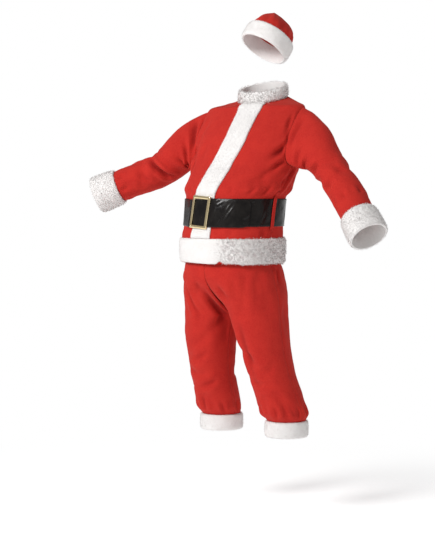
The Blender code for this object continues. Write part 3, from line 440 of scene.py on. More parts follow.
SLEEVE_CREASES_LEFT = (
    (62, 0.016, 150, 0.048, 0.006, 0.011, 0.0045),
    (20, 0.058, 100, 0.088, 0.008, 0.012, 0.0042),
    (330, 0.055, 250, 0.092, -0.008, 0.013, 0.0042),
    (10, 0.108, 88, 0.150, 0.008, 0.012, 0.0045),
    (345, 0.140, 262, 0.165, -0.006, 0.012, 0.0040),
    (20, 0.188, 120, 0.196, 0.010, 0.010, 0.0045),
    (345, 0.192, 268, 0.206, -0.008, 0.011, 0.0045),
    (200, 0.175, 262, 0.235, 0.006, 0.014, 0.0026),
    (130, 0.225, 176, 0.300, 0.008, 0.014, 0.0026),
    (50, 0.262, 120, 0.288, -0.006, 0.012, 0.0030),
    (300, 0.262, 226, 0.296, 0.006, 0.012, 0.0030),
    (75, 0.372, 80, 0.325, 0.003, 0.010, 0.0030),
    (128, 0.376, 122, 0.330, 0.003, 0.010, 0.0028),
    (182, 0.376, 188, 0.334, -0.003, 0.011, 0.0030),
    (246, 0.374, 240, 0.328, 0.003, 0.010, 0.0030),
    (312, 0.374, 318, 0.330, -0.003, 0.010, 0.0030),
    (22, 0.374, 16, 0.332, 0.003, 0.010, 0.0030),
)
SLEEVE_CREASES_RIGHT = (
    (58, 0.014, 150, 0.052, 0.006, 0.012, 0.0072),
    (38, 0.026, 10, 0.150, 0.004, 0.011, 0.0060),  # along the underside from the underarm
    (25, 0.050, 105, 0.070, 0.008, 0.011, 0.0050),
    (330, 0.055, 250, 0.092, -0.008, 0.013, 0.0042),
    (5, 0.092, 84, 0.140, 0.008, 0.012, 0.0048),
    (345, 0.130, 262, 0.158, -0.006, 0.012, 0.0040),
    (8, 0.172, 172, 0.240, -0.008, 0.0130, 0.0110),  # across the elbow
    (14, 0.204, 110, 0.222, 0.006, 0.009, 0.0062),
    (345, 0.186, 262, 0.204, -0.008, 0.011, 0.0045),
    (150, 0.205, 186, 0.262, 0.006, 0.013, 0.0030),
    (52, 0.262, 128, 0.290, -0.006, 0.012, 0.0032),
    (140, 0.290, 176, 0.345, 0.006, 0.013, 0.0026),
    (300, 0.262, 226, 0.296, 0.006, 0.012, 0.0030),
    (70, 0.388, 76, 0.340, 0.003, 0.010, 0.0030),
    (122, 0.390, 116, 0.345, 0.003, 0.010, 0.0030),
    (176, 0.390, 182, 0.348, -0.003, 0.011, 0.0030),
    (240, 0.388, 234, 0.344, 0.003, 0.010, 0.0030),
    (306, 0.388, 312, 0.344, -0.003, 0.010, 0.0030),
    (16, 0.388, 10, 0.346, 0.003, 0.010, 0.0030),
)
LEG_CREASES_LEFT = (
    (196, -0.596, 193, -0.668, 0.001, 0.007, 0.0050),  # pocket mouth behind the side seam
    (22, -0.655, 66, -0.725, 0.010, 0.016, 0.0045),  # drawn from the crotch
    (16, -0.715, 60, -0.800, 0.012, 0.015, 0.0045),
    (92, -0.760, 84, -1.075, 0.014, 0.021, 0.0050),  # long soft trough down the leg's front
    (128, -0.610, 134, -0.800, 0.010, 0.020, 0.0032),
    (72, -0.620, 78, -0.740, 0.006, 0.016, 0.0030),
    (60, -0.900, 128, -0.935, 0.010, 0.016, 0.0020),
    (150, -0.940, 80, -0.992, -0.010, 0.015, 0.0026),
    (38, -0.985, 112, -1.024, 0.008, 0.013, 0.0024),
    (238, -0.930, 318, -0.968, 0.010, 0.013, 0.0048),
    (244, -0.975, 322, -1.000, 0.008, 0.012, 0.0050),
    (236, -1.040, 310, -1.018, 0.006, 0.013, 0.0040),
    (200, -0.700, 206, -0.900, 0.008, 0.020, 0.0026),
    (262, -0.640, 250, -0.740, -0.008, 0.018, 0.0036),
    (300, -0.725, 258, -0.807, -0.010, 0.016, 0.0044),
    (340, -0.785, 300, -0.860, -0.008, 0.014, 0.0040),
    (35, -1.152, 42, -1.092, 0.003, 0.010, 0.0038),
    (62, -1.150, 58, -1.064, 0.003, 0.011, 0.0054),
    (108, -1.152, 114, -1.080, 0.003, 0.010, 0.0050),
    (138, -1.152, 130, -1.070, 0.003, 0.011, 0.0038),
    (168, -1.150, 174, -1.088, 0.003, 0.010, 0.0038),
    (200, -1.152, 196, -1.080, 0.003, 0.010, 0.0038),
    (252, -1.152, 258, -1.088, 0.003, 0.010, 0.0038),
    (320, -1.150, 326, -1.080, 0.003, 0.011, 0.0038),
    (352, -1.152, 348, -1.090, 0.003, 0.010, 0.0036),
)
LEG_CREASES_RIGHT = (
    (194, -0.596, 192, -0.668, 0.001, 0.007, 0.0045),
    (24, -0.645, 66, -0.715, 0.010, 0.016, 0.0042),
    (18, -0.705, 52, -0.860, 0.012, 0.016, 0.0055),
    (72, -0.604, 70, -0.850, -0.006, 0.012, 0.0052),
    (24, -0.630, 12, -0.930, 0.004, 0.021, 0.0066),  # shaded hollow beside the other leg
    (98, -0.604, 92, -0.700, 0.004, 0.010, 0.0050),
    (96, -0.610, 92, -0.720, 0.004, 0.014, 0.0034),
    (150, -0.620, 142, -0.740, 0.006, 0.018, 0.0030),
    (48, -0.905, 118, -0.945, 0.010, 0.016, 0.0034),
    (140, -0.960, 70, -1.000, -0.010, 0.014, 0.0036),
    (30, -1.010, 104, -1.050, 0.008, 0.013, 0.0038),
    (238, -0.925, 318, -0.962, 0.010, 0.013, 0.0046),
    (244, -0.968, 322, -0.994, 0.008, 0.012, 0.0048),
    (236, -1.034, 310, -1.012, 0.006, 0.013, 0.0040),
    (202, -0.690, 208, -0.880, 0.008, 0.020, 0.0026),
    (264, -0.640, 252, -0.730, -0.008, 0.018, 0.0036),
    (300, -0.715, 256, -0.797, -0.010, 0.016, 0.0044),
    (340, -0.791, 300, -0.867, -0.008, 0.014, 0.0040),
    (32, -1.152, 38, -1.092, 0.003, 0.010, 0.0038),
    (88, -1.150, 84, -1.064, 0.003, 0.011, 0.0056),
    (112, -1.152, 118, -1.086, 0.003, 0.010, 0.0038),
    (146, -1.152, 140, -1.090, 0.003, 0.011, 0.0036),
    (178, -1.150, 184, -1.084, 0.003, 0.010, 0.0038),
    (214, -1.152, 210, -1.084, 0.003, 0.010, 0.0038),
    (250, -1.152, 256, -1.090, 0.003, 0.010, 0.0038),
    (318, -1.150, 324, -1.082, 0.003, 0.011, 0.0038),
    (350, -1.152, 346, -1.090, 0.003, 0.010, 0.0036),
)
HAT_CREASES = (  # along is metres up the crown
    (20, 0.004, 30, 0.045, 0.003, 0.011, 0.0030),
    (62, 0.004, 54, 0.050, 0.003, 0.012, 0.0026),
    (104, 0.004, 112, 0.040, 0.003, 0.011, 0.0030),
    (150, 0.004, 144, 0.070, 0.004, 0.013, 0.0026),
    (200, 0.004, 208, 0.062, 0.004, 0.013, 0.0028),
    (248, 0.004, 240, 0.044, 0.003, 0.011, 0.0030),
    (300, 0.004, 308, 0.046, 0.003, 0.012, 0.0030),
    (345, 0.004, 338, 0.040, 0.003, 0.011, 0.0028),
    (30, 0.075, 120, 0.105, 0.010, 0.014, 0.0034),
    (330, 0.080, 236, 0.112, -0.010, 0.014, 0.0034),
    (160, 0.150, 196, 0.235, 0.006, 0.012, 0.0026),
)
# Creases pressed into the strap: angle in degrees round the waist and height in metres from
# the strap's middle, of both ends, then bend, half width and height of the ridge.
BELT_CREASES = (
    (20, -0.044, 36, 0.040, -0.004, 0.0026, 0.0026),
    (23, -0.046, 41, 0.034, -0.003, 0.0022, 0.0020),
    (16, 0.026, 25, 0.044, 0.002, 0.0030, 0.0014),
    (11, -0.030, 17, 0.028, 0.004, 0.0040, 0.0012),
    (55, 0.030, 64, 0.044, 0.003, 0.0034, 0.0016),
    (49, -0.012, 60, 0.014, 0.006, 0.0060, 0.0013),
    (70, -0.046, 78, 0.020, 0.004, 0.0060, 0.0010),
    (96, 0.046, 104, -0.010, 0.004, 0.0050, 0.0013),
    (118, -0.044, 130, 0.030, -0.004, 0.0046, 0.0014),
    (146, 0.044, 152, -0.030, 0.004, 0.0060, 0.0012),
    (172, -0.046, 186, 0.036, 0.005, 0.0046, 0.0015),
    (208, 0.046, 214, -0.020, 0.004, 0.0060, 0.0012),
    (236, -0.044, 246, 0.020, -0.004, 0.0050, 0.0014),
    (262, 0.046, 256, -0.014, 0.004, 0.0046, 0.0013),
    (290, -0.044, 300, 0.034, 0.004, 0.0050, 0.0015),
    (322, 0.044, 330, -0.034, 0.005, 0.0046, 0.0014),
    (340, -0.040, 346, 0.020, 0.003, 0.0040, 0.0012),
)


# ---------------------------------------------------------------- reading the tables
def between(rows, places):
    """The rows of a table at places between its stations, with no overshoot."""
    rows = np.asarray(rows, float)
    steps = np.diff(rows, axis=0)
    slopes = np.vstack([steps[:1], np.zeros((len(rows) - 2, rows.shape[1])), steps[-1:]])
    before, after = steps[:-1], steps[1:]
    same = before * after > 0
    total = np.where(same, before + after, 1)
    slopes[1:-1] = np.where(same, 2 * before * after / total, 0)
    places = np.asarray(places, float)
    i = np.clip(places.astype(int), 0, len(rows) - 2)
    t = (places - i)[..., None]
    ease = t * t * (3 - 2 * t)
    return (
        rows[i] * (1 - ease)
        + rows[i + 1] * ease
        + slopes[i] * (t**3 - 2 * t * t + t)
        + slopes[i + 1] * (t**3 - t * t)
    )


def stations(rows, columns, places):
    """A table's values at places, by their names."""
    values = between(rows, places)
    return {name: values[..., k] for k, name in enumerate(columns)}


def signed_power(value, power):
    """A power of a value's size, with the value's sign."""
    return np.sign(value) * np.abs(value) ** power


def wrapped(degrees):
    """An angle from -180 up to 180 degrees."""
    return (degrees + 180) % 360 - 180


def smooth(value):
    """A soft step from 0 to 1, as the value goes from 0 to 1."""
    value = np.clip(value, 0, 1)
    return value * value * (3 - 2 * value)


def along_line(start_angle, start, end_angle, end, around, along, radius):
    """Places against a line on the unrolled cloth, in metres from its start, and the line."""
    across = np.radians(wrapped(around - start_angle)) * radius
    line_across = math.radians(wrapped(end_angle - start_angle)) * radius
    return across, along - start, line_across, end - start


def trough(folds, around, along, radius):
    """How far the cloth is pushed in at each place, from the large folds."""
    depth = np.zeros(np.broadcast(around, along).shape)
    for *line, half_width, deep in folds:
        x, y, line_x, line_y = along_line(*line, around, along, radius)
        share = np.clip((x * line_x + y * line_y) / (line_x**2 + line_y**2), 0, 1)
        away = np.hypot(x - share * line_x, y - share * line_y) / half_width
        depth += deep * np.exp(-away * away)
    return depth


def crease(table, around, along, radius):
    """How far fine creases push the cloth in: tapered bent troughs, a soft ridge on each side."""
    depth = np.zeros(np.broadcast(around, along).shape)
    for *line, bend, half_width, deep in table:
        x, y, line_x, line_y = along_line(*line, around, along, radius)
        length = math.hypot(line_x, line_y)
        share = (x * line_x + y * line_y) / length**2
        side = (x * line_y - y * line_x) / length - bend * 4 * share * (1 - share)
        wide = half_width * (CREASE_NARROW + CREASE_SPREAD * np.clip(share, 0, 1))
        shape = np.exp(-((side / wide) ** 2))
        for height, place in RIDGES:
            shape = shape - height * np.exp(-(((side - place * wide) / wide) ** 2))
        depth += deep * smooth(share / CREASE_START) * smooth((1 - share) / CREASE_END) * shape
    return depth


def waves(points, size, seed):
    """Smooth uneven waves over points, about -1 to 1, of a size in metres."""
    rng = np.random.default_rng(seed)
    total = np.zeros(points.shape[:-1])
    for _ in range(WAVE_COUNT):
        way = rng.normal(size=3)
        way = way / np.linalg.norm(way) * 2 * math.pi / size * rng.uniform(*WAVE_STRETCH)
        total += np.sin(points @ way + rng.uniform(0, 2 * math.pi))
    return total / WAVE_SCALE


def normals_of(grid, closed):
    """The outward direction at each point of a grid whose rows run up and columns run round."""
    if closed:
        across = np.roll(grid, -1, axis=1) - np.roll(grid, 1, axis=1)
    else:
        across = np.gradient(grid, axis=1)
    out = np.cross(across, np.gradient(grid, axis=0))
    return out / np.maximum(np.linalg.norm(out, axis=2, keepdims=True), 1e-12)


def crowded(count):
    """Shares from 0 to 1 that lie closer together near both ends, where seams are."""
    even = np.linspace(0, 1, count)
    return even - SEAM_CROWDING * np.sin(2 * math.pi * even) / (2 * math.pi)


def steps_between(marks, counts):
    """Places from mark to mark, each stretch cut into its count."""
    places = [np.linspace(a, b, n, endpoint=False) for a, b, n in zip(marks, marks[1:], counts)]
    return np.concatenate(places + [[marks[-1]]])


def run_of(line):
    """Distance along a line of points, from its first."""
    return np.concatenate([[0], np.cumsum(np.linalg.norm(np.diff(line, axis=0), axis=1))])


def evened(ring, count):
    """A closed ring of points as count points an equal distance apart."""
    loop = np.concatenate([ring, ring[:1]])
    run = run_of(loop)
    places = np.linspace(0, run[-1], count, endpoint=False)
    return np.stack([np.interp(places, run, loop[:, k]) for k in range(3)], axis=1)


def lengths_along(grid, axis):
    """Distance along rows or columns of a grid, from its first point."""
    step = np.linalg.norm(np.diff(grid, axis=axis), axis=2)
    shape = list(step.shape)
    shape[axis] = 1
    return np.concatenate([np.zeros(shape), np.cumsum(step, axis=axis)], axis=axis)


def seam_roll(distance):
    """How deep a seam draws the cloth in at a distance from it."""
    return SEAM_ROLL * np.exp(-((distance / SEAM_REACH) ** 2))


def seam_draw(grid, sides=(True, True), ends=(False, False)):
    """How far cloth is drawn in by the seams along its edges."""
    draw = np.zeros(grid.shape[:2])
    across, along = lengths_along(grid, 1), lengths_along(grid, 0)
    distances = (across, across[:, -1:] - across, along, along[-1:] - along)
    for sewn, distance in zip(sides + ends, distances):
        if sewn:
            draw = np.maximum(draw, seam_roll(distance))
    return draw


def edge_fade(grid, reach, sides=(True, True)):
    """0 at the sewn edges of a panel and 1 further in than reach."""
    across = lengths_along(grid, 1)
    fade = np.ones(grid.shape[:2])
    for sewn, distance in zip(sides, (across, across[:, -1:] - across)):
        if sewn:
            fade = fade * smooth(distance / reach)
    return fade


# ---------------------------------------------------------------- making meshes
def layer_faces(rows, columns, closed, first=0, turned=False):
    """The four-cornered faces of one layer of a grid, whose points are numbered from first."""
    i, j = np.meshgrid(np.arange(rows - 1), np.arange(columns if closed else columns - 1))
    a = (i * columns + j).ravel() + first
    b = (i * columns + (j + 1) % columns).ravel() + first
    faces = np.stack([a, b, b + columns, a + columns], axis=1)
    return faces[:, ::-1] if turned else faces


def rim_faces(outer, inner):
    """Faces that join the edges of two layers, for vertex numbers in step along the edge."""
    return np.stack([outer[:-1], inner[:-1], inner[1:], outer[1:]], axis=1)


def new_object(name, points, faces, finish, marks=None):
    """A piece from points and faces, smooth, with number attributes on its points."""
    mesh = bpy.data.meshes.new(name)
    mesh.from_pydata(np.asarray(points).tolist(), [], [tuple(f) for f in faces])
    for label, values in (marks or {}).items():
        layer = mesh.attributes.new(label, "FLOAT", "POINT")
        layer.data.foreach_set("value", np.asarray(values, np.float32).ravel())
    mesh.materials.append(finish)
    mesh.polygons.foreach_set("use_smooth", [True] * len(mesh.polygons))
    mesh.update()
    made = bpy.data.objects.new(name, mesh)
    bpy.context.scene.collection.objects.link(made)
    return made


def shell(name, outer, inner, finish, closed=False, marks=None, cap=False):
    """A wall between two grids of points, shut along its free edges.

    marks are number attributes given on the outer grid; the inner layer gets 0.
    """
    rows, columns = outer.shape[:2]
    count = rows * columns
    points = np.concatenate([outer.reshape(-1, 3), inner.reshape(-1, 3)])
    faces = layer_faces(rows, columns, closed).tolist()
    faces += layer_faces(rows, columns, closed, count, True).tolist()
    number = np.arange(count).reshape(rows, columns)
    low, high = number[0], number[-1]
    if closed:
        low, high = np.append(low, low[0]), np.append(high, high[0])
    faces += rim_faces(low, low + count).tolist()
    if cap:
        points = np.concatenate([points, outer[-1:].mean(axis=1), inner[-1:].mean(axis=1)])
        top, under = 2 * count, 2 * count + 1
        faces += [(high[j], high[j + 1], top) for j in range(columns)]
        faces += [(high[j + 1] + count, high[j] + count, under) for j in range(columns)]
    else:
        faces += rim_faces(high[::-1], high[::-1] + count).tolist()
    if not closed:
        left, right = number[:, 0], number[:, -1]
        faces += rim_faces(left[::-1], left[::-1] + count).tolist()
        faces += rim_faces(right, right + count).tolist()
    extra = len(points) - 2 * count
    given = {}
    for label, values in (marks or {}).items():
        given[label] = np.concatenate([values.ravel(), np.zeros(count + extra)])
    return new_object(name, points, faces, finish, given)


def turned_out(made):
    """Turns a closed mesh's faces outward where its volume comes out below zero."""
    mesh = made.data
    mesh.calc_loop_triangles()
    points = np.empty(len(mesh.vertices) * 3)
    mesh.vertices.foreach_get("co", points)
    points = points.reshape(-1, 3)
    corners = np.empty(len(mesh.loop_triangles) * 3, np.int32)
    mesh.loop_triangles.foreach_get("vertices", corners)
    a, b, c = (points[corners.reshape(-1, 3)[:, k]] for k in range(3))
    if float((a * np.cross(b, c)).sum()) < 0:
        mesh.flip_normals()
    return made


def applied(made):
    """Makes a piece's modifiers part of its mesh."""
    graph = bpy.context.evaluated_depsgraph_get()
    mesh = bpy.data.meshes.new_from_object(made.evaluated_get(graph))
    made.modifiers.clear()
    old = made.data
    made.data = mesh
    mesh.name = made.name
    bpy.data.meshes.remove(old)


def cloth(node, grid, fade, folds_in, draw, closed=False, cap=False, seed=1, out=None):
    """A cloth piece: its smooth form, pushed in by creases, seams and slight waves."""
    out = normals_of(grid, closed) if out is None else out
    (deep, long), (shallow, short) = CLOTH_WAVES
    uneven = deep * waves(grid, long, seed) + shallow * waves(grid, short, seed + 50)
    push = folds_in * fade * CREASE_DEPTH + draw - uneven * fade
    outer = grid - out * push[..., None]
    inner = outer - out * CLOTH
    # painted shade in the creases, and painted highlight on the ridges beside them where it is below
    # zero
    marks = {"crushed": np.clip(folds_in * fade / CREASE_SHADE_FULL, -1, 1)}
    made = turned_out(shell(f"cloth_{node}", outer, inner, RED_PLUSH, closed, marks, cap))
    finish_piece(made, "red_plush", node)
    declare(made, node)


def finish_piece(made, slot, *nodes):
    """Puts a piece on its body in its solid's place, and hides that solid; slot, its finish's name,
    is not used.
    """
    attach(made, "root")
    if nodes:
        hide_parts(*nodes)


def declare(made, node, *with_pieces):
    """Looks up the cut of a soft piece and whether it hangs or is gathered; nothing is done with
    them.
    """
    width, length, share = CUTS[node]
    held = "gathered" if node in GATHERED else "hung"


# ---------------------------------------------------------------- the jacket's surface
def jacket_at(places):
    """The jacket's own values at stations."""
    return stations(JACKET, JACKET_COLUMNS, places)


def jacket_surface(places, angles):
    """The jacket at stations and angles in radians, 0 at the front and 90 degrees at its left."""
    s = jacket_at(places)
    sine, cosine = np.sin(angles), np.cos(angles)
    deep = np.where(cosine > 0, s["front"], s["back"])
    push = trough(JACKET_FOLDS, np.degrees(angles), s["z"] + 0 * angles, TORSO_RADIUS)
    x = (s["half"] - push) * signed_power(sine, 2 / s["power"])
    y = -(deep - push) * signed_power(cosine, 2 / s["power"])
    z = s["z"] - s["dip"] * (1 + cosine) / 2
    turn = np.radians(s["turn"])
    east = s["x"] + x * np.cos(turn) - y * np.sin(turn)
    north = s["y"] + x * np.sin(turn) + y * np.cos(turn)
    return np.stack(np.broadcast_arrays(east, north, z), axis=-1)


def jacket_normals(places, angles):
    """The way out of the jacket's surface, worked out from places close by."""
    turn, rise = NORMAL_STEPS
    round_step = jacket_surface(places, angles + turn) - jacket_surface(places, angles - turn)
    low, high = np.clip(places - rise, HEM, NECK), np.clip(places + rise, HEM, NECK)
    out = np.cross(round_step, jacket_surface(high, angles) - jacket_surface(low, angles))
    return out / np.linalg.norm(out, axis=-1, keepdims=True)


def armhole_places():
    """Stations from the underarm to the shoulder, spaced as round an ellipse."""
    return ARMHOLE_MIDDLE - ARMHOLE_REACH * np.cos(np.pi * np.linspace(0, 1, ARMHOLE_STEPS + 1))


def jacket_places():
    """Stations of the jacket's rows of points, hem to neck."""
    body = steps_between(range(UNDERARM + 1), BODY_STEPS)[:-1]
    shoulder = np.linspace(SHOULDER, NECK, SHOULDER_STEPS + 1)
    return np.concatenate([body, armhole_places()[:-1], shoulder])


def armhole_half(places, side):
    """Half the armhole's opening in radians; side 0 is to the front, 1 to the back."""
    reach = 1 - ((places - ARMHOLE_MIDDLE) / ARMHOLE_REACH) ** 2
    return ARMHOLE_HALF[side] * np.sqrt(np.clip(reach, 0, None))


def seam(angle, grow):
    """A jacket panel's edge, a hair back from its seam."""
    return angle + grow * SEAM_APART / TORSO_RADIUS


def band_middle(places):
    """The angle of the front band's middle, which sways to the wearer's left at the chest."""
    return np.radians(jacket_at(places)["band"])


def band_reach(places, share=1.0):
    """The angle from the front band's middle to a share of its half width."""
    s = jacket_at(places)
    sine = (BAND_HALF * np.abs(share) / s["half"]) ** (s["power"] / 2)
    return np.sign(share) * np.arcsin(sine)


def from_band(places, angles):
    """The angle from the front band's middle, whichever way."""
    turned = angles - band_middle(places)
    return np.abs((turned + np.pi) % (2 * np.pi) - np.pi)


def calm(places, angles):
    """0 where the cloth lies flat under the belt, the hem band or the front band, 1 elsewhere."""
    above = smooth((places - BELT_TOP) / BLOUSE_EASE)
    below = smooth((BELT_LOW - places) / SKIRT_EASE) * smooth((places - HEM_TOP) / SKIRT_EASE)
    off_band = from_band(places, angles) - band_reach(places)
    return np.maximum(above, below) * smooth(off_band / BAND_CALM)


def jacket_panel(name, angles, places, sides, seed):
    """One panel of the jacket; sides says which of its upright edges are sewn."""
    grid = jacket_surface(places, angles)
    fold = crease(JACKET_CREASES, np.degrees(angles), grid[..., 2], TORSO_RADIUS)
    fade = edge_fade(grid, JACKET_FLAT, sides) * calm(places, angles)
    eased = 1 - (1 - ARMHOLE_ROLL) * smooth((places - UNDERARM) / SEAM_EASE + 1)
    draw = seam_draw(grid, sides, (False, True)) * smooth((places - BELT_TOP) / SEAM_EASE) * eased
    out = jacket_normals(places, angles)
    cloth(name, grid, fade, fold, draw, seed=seed, out=out)


def jacket():
    """The fronts, which meet under the front band, and the back between the side seams."""
    places = jacket_places()[:, None]
    middle = band_middle(places)
    side = seam(np.pi / 2 - armhole_half(places, 0), -1)
    edges = (seam(middle, 1), seam(-middle, 1))
    left, right = (start + (side - start) * crowded(FRONT_COLUMNS) for start in edges)
    edge = seam(np.pi / 2 + armhole_half(places, 1), 1)
    back = edge + (2 * np.pi - 2 * edge) * crowded(BACK_COLUMNS)
    jacket_panel("jacket_front_left", left, places, (False, True), 1)
    jacket_panel("jacket_back", back, places, (True, True), 2)
    jacket_panel("jacket_front_right", 2 * np.pi - right[:, ::-1], places, (True, False), 3)


# ---------------------------------------------------------------- fur bands
def rounded(across):
    """Height of the pile across a band: full in the middle, low and round at both edges."""
    return PILE_EDGE + (1 - PILE_EDGE) * np.sqrt(np.clip(1 - across**4, 0, 1))


def edge_spaced(count):
    """Places from -1 to 1 across a band, close together at both edges."""
    even = np.linspace(-1, 1, count)
    return even * (1 - EDGE_CROWDING) + np.sin(even * np.pi / 2) * EDGE_CROWDING


def combed(grid, axis, across):
    """The way the pile falls: sideways over both edges of its band."""
    side = np.gradient(grid, axis=axis)
    side /= np.linalg.norm(side, axis=2, keepdims=True)
    return side * (across**3)[..., None] * EDGE_FALL


def fur_band(
    node, ground, share, comb, closed, seed, curl, tuft=TUFT_LONG, pile=FUR, bare=0.0, reach=1.0
):
    """A band of fur: the soft mass of the pile on its woven ground, and tufts standing in it.

    ground is the band's inner face and share the height of its pile. curl is 1 where the pile
    is curly and lower where it is brushed smooth. Where bare is 1 the pile is pressed flat and
    carries no tufts, and reach is how much of their length the tufts keep from place to place.
    """
    out = normals_of(ground, closed)
    (most, large), (least, small) = LUMPS
    lumps = most * waves(ground, large, seed) + least * waves(ground, small, seed + 7)
    body = PILE_BODY + BRUSHED_LIFT * (1 - curl) + PILE_LUMPS * curl * lumps
    height = BACKING + (pile - BACKING) * share * body
    marks = {
        "standing": (share > STANDING_FROM) * (1 - bare),
        # painted shade in the hollows between curls, less on the lumps
        "depth": np.clip(curl * (PAINTED_HOLLOW_SHADE - PAINTED_SHADE_OFF_LUMPS * lumps), 0, 1),
        "curl": curl + 0 * share,
        "reach": reach + 0 * share,
    }
    outer = ground + out * height[..., None]
    made = turned_out(shell(f"fur_{node}", outer, ground, WHITE_FUR, closed, marks))
    fall = made.data.attributes.new("fall", "FLOAT_VECTOR", "POINT")
    both = np.concatenate([comb.reshape(-1, 3)] * 2)
    fall.data.foreach_set("vector", both.astype(np.float32).ravel())
    tufts = scatter(f"tufts_{node}", made, tuft, seed)
    finish_piece(made, "white_fur", node)
    finish_piece(tufts, "white_fur")
    declare(made, node, tufts)


def ring_band(node, ground, across, seed, curl, closed=True, **rest):
    """A band whose rows run round; across goes from -1 at its first row to 1 at its last."""
    across = across + np.zeros(ground.shape[:2])
    comb = combed(ground, 0, across)
    fur_band(node, ground, rounded(across), comb, closed, seed, curl, **rest)


def front_band():
    """The strip down the front, pressed flat where the belt lies over it."""
    places = np.linspace(BAND_START, BAND_END, BAND_ROWS)[:, None]
    across = edge_spaced(BAND_COLUMNS)[None, :]
    angles = band_middle(places) + band_reach(places, across)
    grid = jacket_surface(places, angles)
    stray, size = BAND_UNEVEN
    sideways = stray * waves(grid[:, BAND_COLUMNS // 2], size, 5)[:, None] * across
    ground = grid + normals_of(grid, False) * GAP
    ground[..., 0] += sideways
    onto = smooth((places - BELT_LOW + PRESS_PAST) / PRESS_EASE)
    off = smooth((BELT_TOP + PRESS_PAST - places) / PRESS_EASE)
    pressed = onto * off + 0 * across
    low, high = BAND_ENDS
    ends = smooth((places - HEM_TOP) / low) * smooth((BAND_END - places) / high)
    share = rounded(across) * (1 - (1 - PRESSED) * pressed) * (1 + ends) / 2
    bare = (pressed > BARE_FROM).astype(float)
    comb = combed(ground, 1, across + 0 * places)
    fur_band("front_band", ground, share, comb, False, 11, CURL_BRUSHED, TUFT_SHORT, bare=bare)


def hem_band():
    """The strip round the hem: brushed smooth near the front, uneven along its lower edge."""
    across = edge_spaced(HEM_ROWS)[:, None]
    places = HEM + (HEM_TOP - HEM) * (across + 1) / 2
    angles = np.linspace(0, 2 * np.pi, HEM_COLUMNS, endpoint=False)[None, :]
    degrees = np.degrees(angles)
    grid = jacket_surface(places, angles + 0 * places)
    stray, size = HEM_UNEVEN
    notch = HEM_NOTCH * np.exp(-((wrapped(degrees - NOTCH_ANGLE) / NOTCH_WIDE) ** 2))
    grid[..., 2] += (stray * waves(grid[:1], size, 21) + notch) * (1 - across) / 2
    ground = grid + normals_of(grid, True) * GAP
    curly = smooth((np.abs(wrapped(degrees - BRUSHED_ANGLE)) - BRUSHED_HALF) / BRUSHED_EASE)
    curl = CURL_BRUSHED + (1 - CURL_BRUSHED) * curly
    reach = BRUSHED_REACH + (1 - BRUSHED_REACH) * curly
    ring_band("hem_band", ground, across, 22, curl, reach=reach)


def spread_rows(count, start, end):
    """Distances from start to end, close together at both, and their places from -1 to 1."""
    across = edge_spaced(count)[:, None]
    return (start + (end - start) * (across + 1) / 2)[..., None], across


def collar():
    """The strip that stands on the neckline, open at the front band's middle."""
    middle = band_middle(float(NECK))
    angles = np.linspace(seam(middle, 1), seam(middle + 2 * np.pi, -1), COLLAR_COLUMNS)[None, :]
    neckline = jacket_surface(np.array([[float(NECK)]]), angles)[0]
    outward = (neckline - neckline.mean(axis=0)) * (1, 1, 0)
    outward /= np.linalg.norm(outward, axis=1, keepdims=True)
    rise, across = spread_rows(COLLAR_ROWS, GAP, COLLAR_RISE)
    ground = neckline + rise * (0, 0, 1.0) - outward * rise * COLLAR_LEAN
    ring_band("collar", ground, across, 33, CURL_CUFF, closed=False)


# ---------------------------------------------------------------- sleeves
def armhole_points(side):
    """The armhole's edge, from the underarm up its front and down its back."""
    front = armhole_places()
    rear = front[-2:0:-1]
    ahead = np.pi / 2 - armhole_half(front, 0)
    behind = np.pi / 2 + armhole_half(rear, 1)
    angles = np.concatenate([ahead, behind])
    if side < 0:
        angles = 2 * np.pi - angles
    return jacket_surface(np.concatenate([front, rear]), angles)


def arm_axes(table, place, side):
    """A sleeve section's own axes at a place: along the arm, up and to the front."""
    low, high = max(place - AXIS_STEP, 0), min(place + AXIS_STEP, len(table) - 1)
    along = (between(table, high) - between(table, low))[:3]
    along /= np.linalg.norm(along)
    up = np.array([0, 0, 1.0]) - along[2] * along
    up /= np.linalg.norm(up)
    return along, up, side * np.cross(along, up)


def evenly(table, count):
    """Places along a table whose centres lie equally far apart, and their distances along it."""
    fine = np.linspace(0, len(table) - 1, PATH_STEPS)
    run = run_of(between(table, fine)[:, :3])
    distances = np.linspace(0, run[-1], count)
    return np.interp(distances, run, fine), distances


def sleeve_grid(table, side, folds):
    """A sleeve from the armhole's own shape to its cuff seam, and the distances of its rows."""
    start = armhole_points(side) + np.array([side * SLEEVE_OFF, 0, 0])
    table = [tuple(start.mean(axis=0)) + table[0][3:]] + list(table[1:])
    places, distances = evenly(table, SLEEVE_ROWS)
    turns = 2 * np.pi * np.arange(len(start)) / len(start)
    first = np.array(table[0][:3])
    rings = []
    for place, distance in zip(places, distances):
        s = dict(zip(SLEEVE_COLUMNS, between(table, place)))
        _, up, front = arm_axes(table, place, side)
        middle = np.array([s["x"], s["y"], s["z"]])
        ease = float(smooth(place / BLEND_STATIONS))
        push = trough(folds, np.degrees(turns), distance + 0 * turns, SLEEVE_RADIUS) * ease
        high = ((s["high"] - push) * np.cos(turns))[:, None]
        deep = ((s["deep"] - push) * np.sin(turns))[:, None]
        own = middle - up * high + front * deep
        rings.append(own * ease + (start + middle - first) * (1 - ease))
    return np.array(rings), distances, arm_axes(table, len(table) - 1, side)[0]


